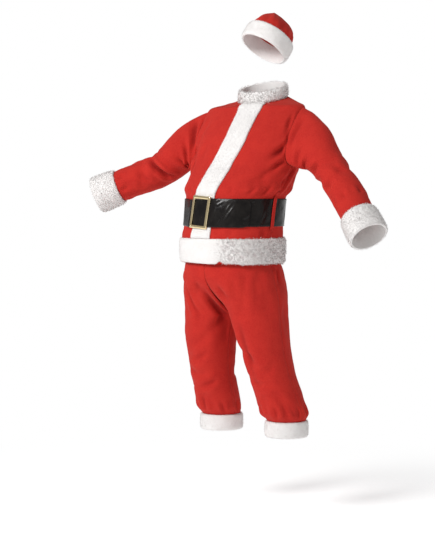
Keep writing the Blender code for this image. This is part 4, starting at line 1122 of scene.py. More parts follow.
def sleeve(word, table, side, folds, creases, seed):
    """A sleeve, its seam along the underside, and its cuff."""
    grid, distances, along = sleeve_grid(table, side, folds)
    around = np.broadcast_to(360 * np.arange(grid.shape[1]) / grid.shape[1], grid.shape[:2])
    if side > 0:
        grid, around = grid[:, ::-1], around[:, ::-1]
    run = distances[:, None] + 0 * around
    fold = crease(creases, around, run, SLEEVE_RADIUS)
    fade = smooth(run / PANEL_FLAT) * smooth((distances[-1] - run) / SLEEVE_FLAT)
    eased = ARMHOLE_ROLL + (1 - ARMHOLE_ROLL) * smooth(run / ARMHOLE_EASE)
    ends = seam_draw(grid, (False, False), (True, True)) * eased
    draw = np.maximum(ends, seam_roll(np.radians(wrapped(around)) * SLEEVE_RADIUS))
    cloth(f"sleeve_{word}", grid, fade, fold, draw, closed=True, seed=seed)
    sleeve_cuff(word, grid[-1], along, seed + 30)


def sleeve_cuff(word, ring, along, seed):
    """A cuff that flares from the sleeve's last ring along the arm."""
    middle = ring.mean(axis=0)
    ring = evened(ring, CUFF_COLUMNS)
    out, across = spread_rows(CUFF_ROWS, GAP, CUFF_LENGTH)
    ground = middle + (ring - middle) * (1 + CUFF_FLARE * out / CUFF_LENGTH) + along * out
    ring_band(f"cuff_{word}", ground, across, seed, CURL_CUFF, tuft=TUFT_CUFF)


# ---------------------------------------------------------------- belt
def belt_lift(angles):
    """How far the strap stands off the jacket: over the pressed band at the front."""
    over = 1 / (1 + np.exp((from_band(float(BELT_LOW), angles) - BAND_EDGE) / BAND_EASE))
    return BELT_REST + over * BAND_OVER


def belt_frame():
    """Points under the strap, the way out of them, and each one's angle, height and layer."""
    angles = np.linspace(0, 2 * np.pi + BELT_END, BELT_COLUMNS)[None, :]
    rise = np.linspace(-1, 1, BELT_ROWS)[:, None]
    half = (BELT_TOP - BELT_LOW) / 2 * BELT_KEPT
    second = 1 / (1 + np.exp((2 * np.pi - LAP_START - angles) / LAP_EASE))
    left = np.clip((angles[:, -1:] - angles) / TIP_LENGTH, 0, 1)
    tip = TIP_HALF + (1 - TIP_HALF) * np.sqrt(1 - (1 - left) ** 2)
    lower = second * LAP_LOWER / BELT_TALL
    places = (BELT_LOW + BELT_TOP) / 2 + rise * half * tip - lower
    base = jacket_surface(places, angles + 0 * places)
    up = rise * tip * BELT_TALL / 2
    return base, normals_of(base, False), angles + 0 * places, up, second + 0 * places


def belt():
    """The strap, one turn and its lap, with creases and slight waves where it shows."""
    base, out, angles, up, second = belt_frame()
    shows = smooth((angles - BELT_END) / LAP_EASE)
    ridge = crease(BELT_CREASES, np.degrees(angles), up, TORSO_RADIUS)
    soft = BELT_WAVE * (1 + waves(base, BELT_WAVE_SIZE, 41))
    off = np.abs(up) / BELT_TALL * 2
    edge = BELT_THIN * smooth((off - BELT_THIN_FROM) / (1 - BELT_THIN_FROM))
    height = belt_lift(angles) + second * LAP_OVER
    height = height + shows * (np.maximum(ridge, -BELT_DENT) + soft)
    inner = base + out * height[..., None]
    outer = inner + out * (STRAP - edge)[..., None]
    made = turned_out(shell("strap_belt", outer, inner, BLACK_VINYL))
    finish_piece(made, "black_vinyl", "belt")
    declare(made, "belt")
    belt_stitches(outer, out, angles)


def belt_stitches(outer, out, angles):
    """A row of stitches near each edge of the strap, seated in its face."""
    along = np.gradient(outer, axis=1)
    free = angles[0] > BELT_END + STITCH_CLEAR
    points, ways, outs = [], [], []
    for row in (EDGE_ROW, BELT_ROWS - 1 - EDGE_ROW):
        line, way, away = outer[row][free], along[row][free], out[row][free]
        run = run_of(line)
        places = np.arange(STITCH_STEP, run[-1], STITCH_STEP)
        for values, kept in ((line, points), (way, ways), (away, outs)):
            kept.append(np.stack([np.interp(places, run, values[:, k]) for k in range(3)], 1))
    rows = (np.concatenate(values) for values in (points, ways, outs))
    made = stitches("stitches_belt", *rows, BLACK_THREAD, STITCH_STEP * STITCH_SHARE)
    finish_piece(made, "black_vinyl")


# ---------------------------------------------------------------- buckle
def buckle_place(x, z, lift):
    """Points of the buckle, which stands in front of the belt's middle, a little tipped over."""
    tip = math.radians(BUCKLE_TIP)
    x, z = x * math.cos(tip) + z * math.sin(tip), z * math.cos(tip) - x * math.sin(tip)
    x = x + BUCKLE_ASIDE
    low, high = jacket_surface(np.array([float(BELT_LOW), float(BELT_TOP)]), np.zeros(2))
    middle, up = (low + high) / 2, (high - low) / np.linalg.norm(high - low)
    turn = math.radians(jacket_at((BELT_LOW + BELT_TOP) / 2)["turn"])
    across = np.array([math.cos(turn), math.sin(turn), 0])
    out = np.cross(across, up)
    rest = float(belt_lift(0.0)) + 2 * STRAP + BUCKLE_REST
    away = rest + lift - x * x / (2 * BUCKLE_BOW)
    parts = ((x, across), (z, up), (away, out))
    return middle + sum(np.multiply.outer(value, way) for value, way in parts)


def rectangle_loop(half_wide, half_tall, radius):
    """Points round a rectangle with rounded corners, the same count whatever its sizes."""
    corners = []
    for quarter, (sx, sz) in enumerate(((1, -1), (1, 1), (-1, 1), (-1, -1))):
        turns = np.radians(-90 + 90 * quarter + np.linspace(0, 90, CORNER_STEPS + 1))
        x = sx * (half_wide - radius) + radius * np.cos(turns)
        z = sz * (half_tall - radius) + radius * np.sin(turns)
        corners.append(np.stack([x, z], axis=1))
    loop = []
    shares = np.linspace(0, 1, SIDE_STEPS + 2)[1:-1, None]
    for corner, after in zip(corners, corners[1:] + corners[:1]):
        loop += [corner, corner[-1] * (1 - shares) + after[0] * shares]
    return np.concatenate(loop)


def buckle():
    """The frame: one bevelled section carried round a rectangle, bowed with the waist."""
    rings = []
    for inset, lift, radius in BUCKLE_SECTION:
        loop = rectangle_loop(BUCKLE_WIDE / 2 - inset, BUCKLE_TALL / 2 - inset, radius)
        rings.append(buckle_place(loop[:, 0], loop[:, 1], lift * BUCKLE_THICK + 0 * loop[:, 0]))
    points = np.array(rings)
    rows, columns = points.shape[:2]
    faces = layer_faces(rows + 1, columns, True) % (rows * columns)
    made = new_object("frame_buckle", points.reshape(-1, 3), faces, GOLD_METAL)
    turned_out(made)
    bevel = made.modifiers.new("edges", "BEVEL")
    bevel.width = BUCKLE_BEVEL
    bevel.segments = 2
    bevel.limit_method = "ANGLE"
    bevel.angle_limit = math.radians(BEVEL_FROM)
    applied(made)
    finish_piece(made, "gold_metal", "buckle")


# ---------------------------------------------------------------- belt loops
def belt_loop(word, angle):
    """A narrow doubled strip over the belt at a side seam, sewn down above and below it."""
    places = BELT_LOW + np.array([row[0] for row in LOOP_PATH])
    over = float(belt_lift(angle)) + LOOP_OVER
    heights = np.array([over if row[1] is None else row[1] for row in LOOP_PATH])
    fine = np.linspace(0, 1, LOOP_ROWS)
    steps = np.linspace(0, 1, len(LOOP_PATH))
    place = np.interp(fine, steps, places)[:, None]
    lift = np.interp(fine, steps, heights)
    lift = np.convolve(np.pad(lift, 2, "edge"), LOOP_EASE, "valid")[:, None]
    lift = np.maximum(lift, np.where((place > BELT_LOW) & (place < BELT_TOP), over * LOOP_KEPT, 0))
    across = np.linspace(-1, 1, LOOP_COLUMNS)[None, :]
    grid = jacket_surface(place, angle + across * LOOP_WIDTH / 2 / TORSO_RADIUS)
    out = normals_of(grid, False)
    inner = grid + out * lift[..., None]
    crown = 1 - LOOP_CROWN * across**4 + 0 * place
    outer = inner + out * (LOOP_CLOTH * crown)[..., None]
    node = f"belt_loop_{word}"
    zeros = {"crushed": np.zeros(grid.shape[:2])}
    made = turned_out(shell(f"cloth_{node}", outer, inner, RED_PLUSH, False, zeros))
    finish_piece(made, "red_plush", node)
    declare(made, node)
    tacks(f"stitches_{node}", outer, out)


def tacks(name, outer, out):
    """Two rows of stitches across a strip, near its ends."""
    points, ways, outs = [], [], []
    for row in TACK_ROWS:
        for column in range(1, LOOP_COLUMNS - 1, 2):
            points.append(outer[row, column])
            ways.append(outer[row, column + 1] - outer[row, column - 1])
            outs.append(out[row, column])
    rows = (np.array(values) for values in (points, ways, outs))
    finish_piece(stitches(name, *rows, RED_THREAD, TACK_LENGTH), "red_plush")


# ---------------------------------------------------------------- trousers
def seat_points(places, shares, side, rear):
    """The seat; shares run from the centre seam, 0, to the side seam, 1."""
    s = stations(SEAT, SEAT_COLUMNS, places)
    deep = -s["front"] if rear < 0 else s["back"]
    x = s["half"] * signed_power(np.sin(shares * np.pi / 2), 2 / s["power"])
    y = deep * signed_power(np.cos(shares * np.pi / 2), 2 / s["power"])
    return np.stack(np.broadcast_arrays(s["x"] + side * x, s["y"] + y, s["z"]), axis=-1)


def leg_points(table, places, shares, side, rear):
    """A leg; shares run from the inner seam, 0, to the side seam, 1."""
    s = stations(table, LEG_COLUMNS, places)
    x = s["x"] - side * s["half"] * np.cos(shares * np.pi)
    y = s["y"] + rear * s["deep"] * np.sin(shares * np.pi)
    return np.stack(np.broadcast_arrays(x, y, s["z"]), axis=-1)


def leg_centres(table, z):
    """The middle of the leg at heights, or above the crotch of the half seat over it."""
    heights = [-row[0] for row in table]
    s = stations(table, LEG_COLUMNS, np.interp(-z, heights, range(len(heights))))
    above = z >= table[0][0]
    x = np.where(above, table[0][1], s["x"])
    y = np.where(above, SEAT_MIDDLE, s["y"])
    return np.stack([x, y, z], axis=-1)


def trouser_grid(table, side, rear, folds):
    """One panel, waist to cuff; it parts from the seat's ring into the leg's."""
    seat = np.linspace(0, CROTCH, SEAT_ROWS, endpoint=False)[:, None]
    leg = np.linspace(0, len(table) - 1, LEG_ROWS)[:, None]
    shares = crowded(PANEL_COLUMNS)[None, :]
    parted = np.clip((seat - PARTING_START) / (CROTCH - PARTING_START), 0, None) ** PARTING
    own = seat_points(seat, shares, side, rear)
    split = leg_points(table, 0 * seat, shares, side, rear)
    upper = own * (1 - parted[..., None]) + split * parted[..., None]
    upper[..., 2] = own[..., 2]
    grid = np.concatenate([upper, leg_points(table, leg, shares, side, rear)])
    turns = (180 * shares if rear < 0 else 360 - 180 * shares) + 0 * grid[..., 2]
    inward = (leg_centres(table, grid[..., 2]) - grid) * (1, 1, 0)
    inward /= np.linalg.norm(inward, axis=2, keepdims=True)
    push = trough(folds, turns, grid[..., 2], LEG_RADIUS) * np.clip(4 * shares, 0, 1)
    grid = grid + inward * push[..., None]
    grid[:SEAT_ROWS, 0, 0] = side * SEAM_APART
    grid[SEAT_ROWS:, 0, 1] += rear * SEAM_APART
    grid[:, -1, 1] += rear * SEAM_APART
    out = normals_of(grid[::-1], False)[::-1] * -side * rear
    out[:SEAT_ROWS, 0, 0] = 0
    out[SEAT_ROWS:, 0, 1] = 0
    out[:, -1, 1] = 0
    out /= np.linalg.norm(out, axis=2, keepdims=True)
    return grid, turns, out


def trouser_panel(part, word, table, side, rear, folds, creases, seed):
    """Makes one panel and returns its top and bottom edges."""
    grid, turns, out = (made[::-1] for made in trouser_grid(table, side, rear, folds))
    if side * rear > 0:
        grid, turns, out = grid[:, ::-1], turns[:, ::-1], out[:, ::-1]
    fold = crease(creases, turns, grid[..., 2], LEG_RADIUS)
    over_cuff = grid[..., 2] - grid[:1, :, 2]
    fade = edge_fade(grid, PANEL_FLAT) * smooth(over_cuff / LEG_FLAT)
    fade = fade * smooth((TROUSER_CALM - grid[..., 2]) / CALM_EASE)
    draw = seam_draw(grid) * smooth(over_cuff / (LEG_FLAT / 2))
    cloth(f"trouser_{part}_{word}", grid, fade, fold, draw, seed=seed, out=out)
    return grid[-1], grid[0]


def leg(word, table, side, folds, creases, seed):
    """Front and back panel of a leg and its cuff; returns the tops of both panels."""
    rest = (folds, creases)
    front_top, front_end = trouser_panel("front", word, table, side, -1, *rest, seed)
    back_top, back_end = trouser_panel("back", word, table, side, 1, *rest, seed + 1)
    ring = evened(np.concatenate([front_end, back_end[1:-1]]), LEG_CUFF_COLUMNS)
    down, across = spread_rows(LEG_CUFF_ROWS, LEG_CUFF_LENGTH, GAP)
    ground = ring - down * (0, 0, 1.0)
    ring_band(f"trouser_cuff_{word}", ground, across, seed + 30, CURL_BRUSHED, tuft=TUFT_SHORT)
    return front_top, back_top


def waistband(left_tops, right_tops):
    """A casing drawn in by elastic, with small gathers all round."""
    ring = [top[:-1] for top in (*left_tops, *right_tops[::-1])]
    ring = evened(np.concatenate(ring), WAIST_COLUMNS)
    rise = np.linspace(GAP, WAISTBAND, WAIST_ROWS)
    grid = ring + rise[:, None, None] * (0, 0, 1.0)
    around = 2 * np.pi * np.arange(WAIST_COLUMNS) / WAIST_COLUMNS
    crowding = WAIST_SWING * np.sin(WAIST_SWAYS * around)
    gathers = np.sin(WAIST_GATHERS * around + crowding) * WAIST_RUCK
    casing = np.sin(np.pi * (rise - GAP) / (WAISTBAND - GAP))[:, None]
    fade = np.ones(grid.shape[:2])
    cloth("trouser_waistband", grid, fade, gathers * casing, 0 * fade, closed=True, seed=61)


# ---------------------------------------------------------------- hat
def hat_points(out, across, up):
    """Points of the hat from places in the plane of its fold, tilted and set on the head."""
    fold, tilt, turn = (math.radians(a) for a in (HAT_FOLD, HAT_TILT, HAT_TURN))
    x = out * math.cos(fold) - across * math.sin(fold)
    y = out * math.sin(fold) + across * math.cos(fold)
    back = y * math.cos(tilt) + up * math.sin(tilt)
    high = up * math.cos(tilt) - y * math.sin(tilt)
    east = x * math.cos(turn) - back * math.sin(turn)
    north = x * math.sin(turn) + back * math.cos(turn)
    return np.array(HAT_PLACE) + np.stack(np.broadcast_arrays(east, north, high), axis=-1)


def hat():
    """The crown, its tail folded down behind, and the fur round its opening."""
    places = np.linspace(0, len(HAT_CROWN) - 1, HAT_ROWS)
    low_out, low_up, high_out, high_up, half = between(HAT_CROWN, places).T[:, :, None]
    angles = (2 * np.pi * np.arange(HAT_COLUMNS) / HAT_COLUMNS)[None, :]
    share = (1 + np.cos(angles)) / 2
    out = low_out * share + high_out * (1 - share)
    peaked = np.exp(-(((places - HAT_PEAK) / HAT_PEAK_REACH) ** 2)) * np.minimum(places, 1)
    over = peaked[:, None] * (1 - share) ** 4
    up = low_up * share + high_up * (1 - share) + HAT_RAISE * over
    sine = np.sin(angles)
    pinch = 1 + HAT_PINCH * peaked[:, None] * (1 - share) * (sine > 0)
    grid = hat_points(out, half * signed_power(sine, pinch) + HAT_LEAN * over, up)
    run = lengths_along(grid, 0)
    around = np.degrees(angles) + 0 * run
    fold = crease(HAT_CREASES, around, run, HAT_RADIUS)
    fade = smooth(run / HAT_FLAT) * smooth((HAT_PLAIN - places) / HAT_EASE)[:, None]
    seam_line = np.radians(wrapped(around - 180)) * half
    draw = HAT_ROLL * seam_roll(seam_line) * smooth(run / HAT_SEAM_START)
    draw = draw * smooth((HAT_SEAM_END - places) / HAT_SEAM_EASE)[:, None]
    cloth("hat_crown", grid, fade, fold, draw, closed=True, cap=True, seed=71)
    upward = hat_points(0.0, 0.0, 1.0) - hat_points(0.0, 0.0, 0.0)
    rise, across = spread_rows(BRIM_ROWS, -BRIM_HIGH, -GAP)
    ground = evened(grid[0], BRIM_COLUMNS) + rise * upward
    ring_band("hat_brim", ground, across, 77, CURL_BRUSHED, tuft=TUFT_SHORT, pile=BRIM_FUR)


# ---------------------------------------------------------------- what repeats
def added(tree, kind, settings, sockets):
    """A new node: its settings, then the values or links of its sockets, by name or place."""
    made = tree.nodes.new(kind)
    for label, value in (settings or {}).items():
        setattr(made, label, value)
    for label, value in sockets.items():
        socket = made.inputs[int(label[1:]) if label[0] == "_" else label.replace("_", " ")]
        if isinstance(value, bpy.types.NodeSocket):
            tree.links.new(value, socket)
        elif isinstance(value, tuple) and len(value) < len(socket.default_value):
            socket.default_value = (*value, 1)
        else:
            socket.default_value = value
    return made


class Tree:
    """A geometry node tree, and the short ways to add to it."""

    def __init__(self, name, **inputs):
        self.tree = bpy.data.node_groups.new(name, "GeometryNodeTree")
        sockets, self.keys = self.tree.interface, {}
        for label, kind in inputs.items():
            made = sockets.new_socket(label, in_out="INPUT", socket_type=f"NodeSocket{kind}")
            self.keys[label] = made.identifier
        sockets.new_socket("Geometry", in_out="OUTPUT", socket_type="NodeSocketGeometry")
        self.inputs = self.tree.nodes.new("NodeGroupInput").outputs

    def node(self, kind, settings=None, **values):
        """A node's outputs."""
        return added(self.tree, kind, settings, values).outputs

    def shape_of(self, piece):
        """The geometry of an object that is one of the tree's inputs."""
        return self.node("GeometryNodeObjectInfo", Object=piece)["Geometry"]

    def mark(self, name, kind="FLOAT"):
        """A named attribute of the points or faces at hand."""
        settings = {"data_type": kind}
        return self.node("GeometryNodeInputNamedAttribute", settings, Name=name)["Attribute"]

    def drawn(self, low, high, seed):
        """A vector drawn between two others for each point."""
        settings = {"data_type": "FLOAT_VECTOR"}
        return self.node("FunctionNodeRandomValue", settings, _0=low, _1=high, Seed=seed)["Value"]

    def maths(self, operation, *values, kind="ShaderNodeVectorMath"):
        """Vectors, or numbers with the other kind of node, worked on together."""
        sockets = {f"_{k}": value for k, value in enumerate(values)}
        return self.node(kind, {"operation": operation}, **sockets)[0]

    def finish(self, geometry, finish):
        """Realises what was instanced, gives it its material and hands it out."""
        real = self.node("GeometryNodeRealizeInstances", _0=geometry)[0]
        dressed = self.node("GeometryNodeSetMaterial", _0=real, _2=finish)[0]
        self.node("NodeGroupOutput", _0=dressed)


def grown(name, tree, **values):
    """The plain mesh that a tree makes from its inputs' values."""
    holder = bpy.data.objects.new(name, bpy.data.meshes.new(name))
    bpy.context.scene.collection.objects.link(holder)
    modifier = holder.modifiers.new("grown", "NODES")
    modifier.node_group = tree.tree
    for label, value in values.items():
        modifier[tree.keys[label]] = value
    applied(holder)
    holder.data.polygons.foreach_set("use_smooth", [True] * len(holder.data.polygons))
    bpy.data.node_groups.remove(tree.tree)
    return holder


def lock_of_fur():
    """One lock of pile, a unit long: three-sided, bent over, thinning to its tip."""
    points, faces, depth = [], [], []
    for share, radius in LOCK_RINGS:
        bend = LOCK_BEND * share
        middle = np.array([math.sin(bend) * share * LOCK_THROW, 0, math.cos(bend) * share])
        for k in range(3):
            turn = 2 * math.pi * k / 3
            points.append(middle + (math.cos(turn) * radius, math.sin(turn) * radius, 0))
            # painted shade, darkest at the root and none at the tip
            depth.append(LOCK_SHADE * (1 - share))
    last = len(LOCK_RINGS) - 1
    for ring in range(last):
        for k in range(3):
            a, b = 3 * ring + k, 3 * ring + (k + 1) % 3
            faces.append((a, b, b + 3, a + 3))
    faces += [(2, 1, 0), tuple(3 * last + k for k in range(3))]
    return new_object("lock", points, faces, WHITE_FUR, {"depth": np.array(depth)})


def scatter(name, ground, tuft, seed):
    """Locks of fur over the parts of a band that are marked as standing."""
    length, spacing = tuft
    lock = lock_of_fur()
    tree = Tree(
        "fur_locks", Ground="Object", Lock="Object", Spacing="Float", Length="Float",
        Spread="Float", Seed="Int",
    )
    asked = tree.inputs
    spots = tree.node(
        "GeometryNodeDistributePointsOnFaces",
        {"distribute_method": "POISSON"},
        Mesh=tree.shape_of(asked["Ground"]),
        Distance_Min=asked["Spacing"],
        Density_Max=LOCK_CROWD,
        Density_Factor=tree.mark("standing"),
        Seed=asked["Seed"],
    )
    stray = tree.drawn((-1.0, -1.0, -1.0), (1.0, 1.0, 1.0), asked["Seed"])
    lean = tree.node("ShaderNodeVectorMath", {"operation": "SCALE"}, _0=stray, _3=asked["Spread"])
    way = tree.maths("ADD", spots["Normal"], lean[0])
    for fall in (tree.mark("fall", "FLOAT_VECTOR"), LOCK_FALL):
        way = tree.maths("ADD", way, fall)
    stood = tree.node("FunctionNodeAlignRotationToVector", {"axis": "Z"}, Vector=way)[0]
    spin = tree.drawn((0.0, 0.0, 0.0), (0.0, 0.0, 2 * math.pi), 7)
    spun = tree.node("FunctionNodeEulerToRotation", Euler=spin)[0]
    local = {"rotation_space": "LOCAL"}
    turned = tree.node("FunctionNodeRotateRotation", local, _0=stood, _1=spun)[0]
    short, long = LOCK_UNEVEN
    plain = {"data_type": "FLOAT"}
    uneven = tree.node("FunctionNodeRandomValue", plain, _2=short, _3=long, Seed=9)[1]
    kept = tree.maths("MULTIPLY", tree.mark("reach"), asked["Length"], kind="ShaderNodeMath")
    locks = tree.node(
        "GeometryNodeInstanceOnPoints",
        Points=spots["Points"],
        Instance=tree.shape_of(asked["Lock"]),
        Rotation=turned,
        Scale=tree.maths("MULTIPLY", uneven, kept, kind="ShaderNodeMath"),
    )[0]
    tree.finish(locks, WHITE_FUR)
    made = grown(
        name, tree, Ground=ground, Lock=lock, Spacing=spacing, Length=length,
        Spread=LOCK_SPREAD, Seed=seed,
    )
    bpy.data.objects.remove(lock, do_unlink=True)
    return made


def stitch_shape():
    """One stitch, a unit long along X: a thread that comes up, lies over and goes down."""
    points, faces = [], []
    for share, radius, rise in STITCH_RINGS:
        for k in range(4):
            turn = math.pi / 4 + math.pi / 2 * k
            points.append((share, math.cos(turn) * radius, math.sin(turn) * radius + rise))
    for ring in range(len(STITCH_RINGS) - 1):
        for k in range(4):
            a, b = 4 * ring + k, 4 * ring + (k + 1) % 4
            faces.append((a, a + 4, b + 4, b))
    last = 4 * (len(STITCH_RINGS) - 1)
    faces += [(0, 1, 2, 3), (last + 3, last + 2, last + 1, last)]
    return new_object("stitch", points, faces, WHITE_FUR)


def stitches(name, points, ways, outs, finish, length):
    """A stitch at each point, along its way and standing out from the cloth."""
    line = bpy.data.meshes.new(f"{name}_places")
    line.from_pydata(points.tolist(), [], [])
    for label, values in (("way", ways), ("out", outs)):
        layer = line.attributes.new(label, "FLOAT_VECTOR", "POINT")
        layer.data.foreach_set("vector", values.astype(np.float32).ravel())
    places = bpy.data.objects.new(f"{name}_places", line)
    bpy.context.scene.collection.objects.link(places)
    stitch = stitch_shape()
    tree = Tree("stitches", Places="Object", Stitch="Object", Length="Float")
    asked = tree.inputs
    align, flat = "FunctionNodeAlignRotationToVector", {"axis": "X", "pivot_axis": "Z"}
    stood = tree.node(align, {"axis": "Z"}, Vector=tree.mark("out", "FLOAT_VECTOR"))[0]
    laid = tree.node(align, flat, Rotation=stood, Vector=tree.mark("way", "FLOAT_VECTOR"))[0]
    sewn = tree.node(
        "GeometryNodeInstanceOnPoints",
        Points=tree.shape_of(asked["Places"]),
        Instance=tree.shape_of(asked["Stitch"]),
        Rotation=laid,
        Scale=asked["Length"],
    )[0]
    tree.finish(sewn, finish)
    made = grown(name, tree, Places=places, Stitch=stitch, Length=length)
    for helper in (places, stitch):
        bpy.data.objects.remove(helper, do_unlink=True)
    return made


# ---------------------------------------------------------------- shader maths
class Value:
    """A shader socket that Python's operators work on."""

    def __init__(self, finish, socket):
        self.finish, self.socket = finish, socket

    def _maths(self, operation, other):
        settings = {"operation": operation}
        return self.finish.node("ShaderNodeMath", settings, _0=self, _1=other)[0]

    def __add__(self, other):
        return self._maths("ADD", other)

    def __mul__(self, other):
        return self._maths("MULTIPLY", other)

    __radd__ = __add__
    __rmul__ = __mul__


class Finish:
    """A material under construction, with one Principled shader."""

    def __init__(self, name, rough, metal=0.0, **constants):
        self.material = bpy.data.materials.new(name)
        self.material.use_nodes = True
        self.tree = self.material.node_tree
        self.shader = self.tree.nodes["Principled BSDF"]
        self.shader.inputs["Roughness"].default_value = rough
        self.shader.inputs["Metallic"].default_value = metal
        for label, value in constants.items():
            self.shader.inputs[label.replace("_", " ")].default_value = value
        self.place = self.node("ShaderNodeTexCoord")["Object"]

    def node(self, kind, settings=None, **values):
        """A node's outputs; its sockets take numbers, colours and Values."""
        sockets = {k: v.socket if isinstance(v, Value) else v for k, v in values.items()}
        return Outputs(self, added(self.tree, kind, settings, sockets))

    def noise(self, scale, detail=2.0, rough=0.5, place=None):
        """Noise from about 0 to 1, with scale in waves for each metre."""
        sockets = {"Scale": scale, "Detail": detail, "Roughness": rough}
        return self.node("ShaderNodeTexNoise", Vector=place or self.place, **sockets)["Fac"]

    def cells(self, scale, feature="F1"):
        """Distance from the middles of cells, with scale in cells for each metre."""
        settings = {"feature": feature}
        return self.node("ShaderNodeTexVoronoi", settings, Vector=self.place, Scale=scale)["Distance"]

    def stretched(self, sizes):
        """The place on the suit, scaled along each axis."""
        settings = {"operation": "MULTIPLY"}
        return self.node("ShaderNodeVectorMath", settings, _0=self.place, _1=sizes)[0]

    def band(self, value, low, high):
        """A smooth step of a value from 0 at low to 1 at high."""
        settings = {"interpolation_type": "SMOOTHSTEP"}
        return self.node("ShaderNodeMapRange", settings, Value=value, From_Min=low, From_Max=high)[0]

    def mark(self, name):
        """A number given on the points of the mesh."""
        return self.node("ShaderNodeAttribute", {"attribute_name": name})["Fac"]

    def mix(self, share, first, second):
        """Two colours mixed."""
        settings = {"data_type": "RGBA"}
        return self.node("ShaderNodeMix", settings, _0=share, _6=first, _7=second)[2]

    def bump(self, height, strength, distance, under=None):
        """A normal bent by a height, over another bump if one is given."""
        sockets = {"Height": height, "Strength": strength, "Distance": distance}
        if under is not None:
            sockets["Normal"] = under
        return self.node("ShaderNodeBump", **sockets)[0]

    def feed(self, label, value):
        """Links a value to one of the shader's own sockets."""
        self.tree.links.new(value.socket, self.shader.inputs[label])


class Outputs:
    """A node's outputs, each handed out as a Value."""

    def __init__(self, finish, made):
        self.finish, self.made = finish, made

    def __getitem__(self, key):
        return Value(self.finish, self.made.outputs[key])


# ---------------------------------------------------------------- finishes
def red_plush():
    """Short plush: clumps of nap a few millimetres across with a painted highlight on them and
    painted shade at their roots, brushed patches, painted shade in the creases and painted highlight
    on their ridges.
    """
    made = Finish(
        "red_plush", 0.92, Sheen_Weight=0.12, Sheen_Roughness=0.45, Sheen_Tint=RED_SHEEN,
        Specular_IOR_Level=0.12,
    )
    brushed = made.band(made.noise(26, 3, 0.55), 0.34, 0.66)
    clumps = made.noise(260, 3, 0.6)
    fuzz = made.noise(900, 2, 0.6)
    crushed = made.mark("crushed")
    colour = made.mix(brushed, RED_DEEP, RED_LIT)
    # painted highlight on raised clumps of nap
    colour = made.mix(made.band(clumps, 0.35, 0.62) * 0.55, colour, RED_RAISED_HIGHLIGHT)
    # painted shade at the roots of the nap
    colour = made.mix(made.band(fuzz, 0.62, 0.44) * 0.30, colour, RED_ROOT_SHADE)
    # painted shade in the creases, and painted highlight on the ridges beside them
    colour = made.mix(made.band(crushed, 0.08, 1.2) * 0.72, colour, RED_CREASE_SHADE)
    colour = made.mix(made.band(crushed, -0.06, -0.45) * 0.25, colour, RED_RAISED_HIGHLIGHT)
    made.feed("Base Color", colour)
    made.feed("Roughness", 0.86 + 0.12 * made.noise(60))
    soft = made.bump(made.noise(95, 3, 0.55), 0.16, 0.0020)
    nap = made.bump(clumps, 0.35, 0.0010, soft)
    made.feed("Normal", made.bump(fuzz, 0.45, 0.0005, nap))
    return made.material


def white_fur():
    """Long white pile: bright tips, warm grey painted shade in the depths between the locks, fine
    strands.
    """
    made = Finish(
        "white_fur", 0.90, Sheen_Weight=0.20, Sheen_Roughness=0.5, Specular_IOR_Level=0.15
    )
    depth = made.mark("depth")
    curls = made.cells(150, "SMOOTH_F1")
    strands = made.noise(700, 2, 0.6, made.stretched((1.0, 1.0, 0.35)))
    patches = made.noise(30, 3, 0.55)
    colour = made.mix(made.band(patches, 0.35, 0.66), FUR_WARM, FUR_BRIGHT)
    # painted shade in the pile's hollows and at the roots of its locks
    colour = made.mix(made.band(depth, 0.25, 1.0) * 0.80, colour, FUR_DEPTH_SHADE)
    colour = made.mix(made.band(curls, 0.42, 0.75) * made.mark("curl") * 0.35, colour, FUR_SHADE)
    colour = made.mix(made.band(strands, 0.58, 0.40) * 0.16, colour, FUR_SHADE)
    made.feed("Base Color", colour)
    made.feed("Roughness", 0.80 + 0.18 * patches)
    curled = made.bump(curls, 0.22, 0.0030)
    made.feed("Normal", made.bump(strands, 0.50, 0.0008, curled))
    return made.material


def black_vinyl():
    """Soft patent vinyl: fine grain under a gloss that is smeared here and there."""
    made = Finish(
        "black_vinyl", 0.24, Coat_Weight=0.12, Coat_Roughness=0.08, Specular_IOR_Level=0.14
    )
    grain = made.cells(1100)
    smear = made.noise(34, 4, 0.6)
    scuff = made.band(made.noise(300, 3, 0.7, made.stretched((1.0, 1.0, 3.0))), 0.62, 0.74)
    colour = made.mix(made.band(smear, 0.30, 0.70), BLACK_DEEP, BLACK_WORN)
    colour = made.mix(scuff * 0.35, colour, BLACK_SCUFF)
    made.feed("Base Color", colour)
    made.feed("Roughness", 0.13 + 0.17 * smear + 0.14 * scuff)
    soft = made.bump(made.noise(45, 3, 0.5), 0.30, 0.0016)
    made.feed("Normal", made.bump(grain, 0.16, 0.0003, soft))
    return made.material


def gold_metal():
    """Bright gilt plating: faint brushing along the bars, tarnish in patches."""
    made = Finish("gold_metal", 0.22, 1.0)
    brushed = made.noise(520, 2, 0.6, made.stretched((1.0, 1.0, 0.12)))
    tarnish = made.band(made.noise(70, 4, 0.6), 0.48, 0.72)
    colour = made.mix(tarnish * 0.45, GILT, GILT_DULL)
    colour = made.mix(made.band(brushed, 0.35, 0.65) * 0.18, colour, GILT_PALE)
    made.feed("Base Color", colour)
    made.feed("Roughness", 0.08 + 0.14 * tarnish + 0.06 * brushed)
    made.feed("Normal", made.bump(brushed, 0.10, 0.0002))
    return made.material


def thread(name, colour, dark):
    """Twisted sewing thread, with painted shade between its plies."""
    made = Finish(name, 0.60)
    twist = made.noise(2600, 2, 0.6)
    made.feed("Base Color", made.mix(made.band(twist, 0.40, 0.62), colour, dark))
    made.feed("Normal", made.bump(twist, 0.30, 0.0002))
    return made.material


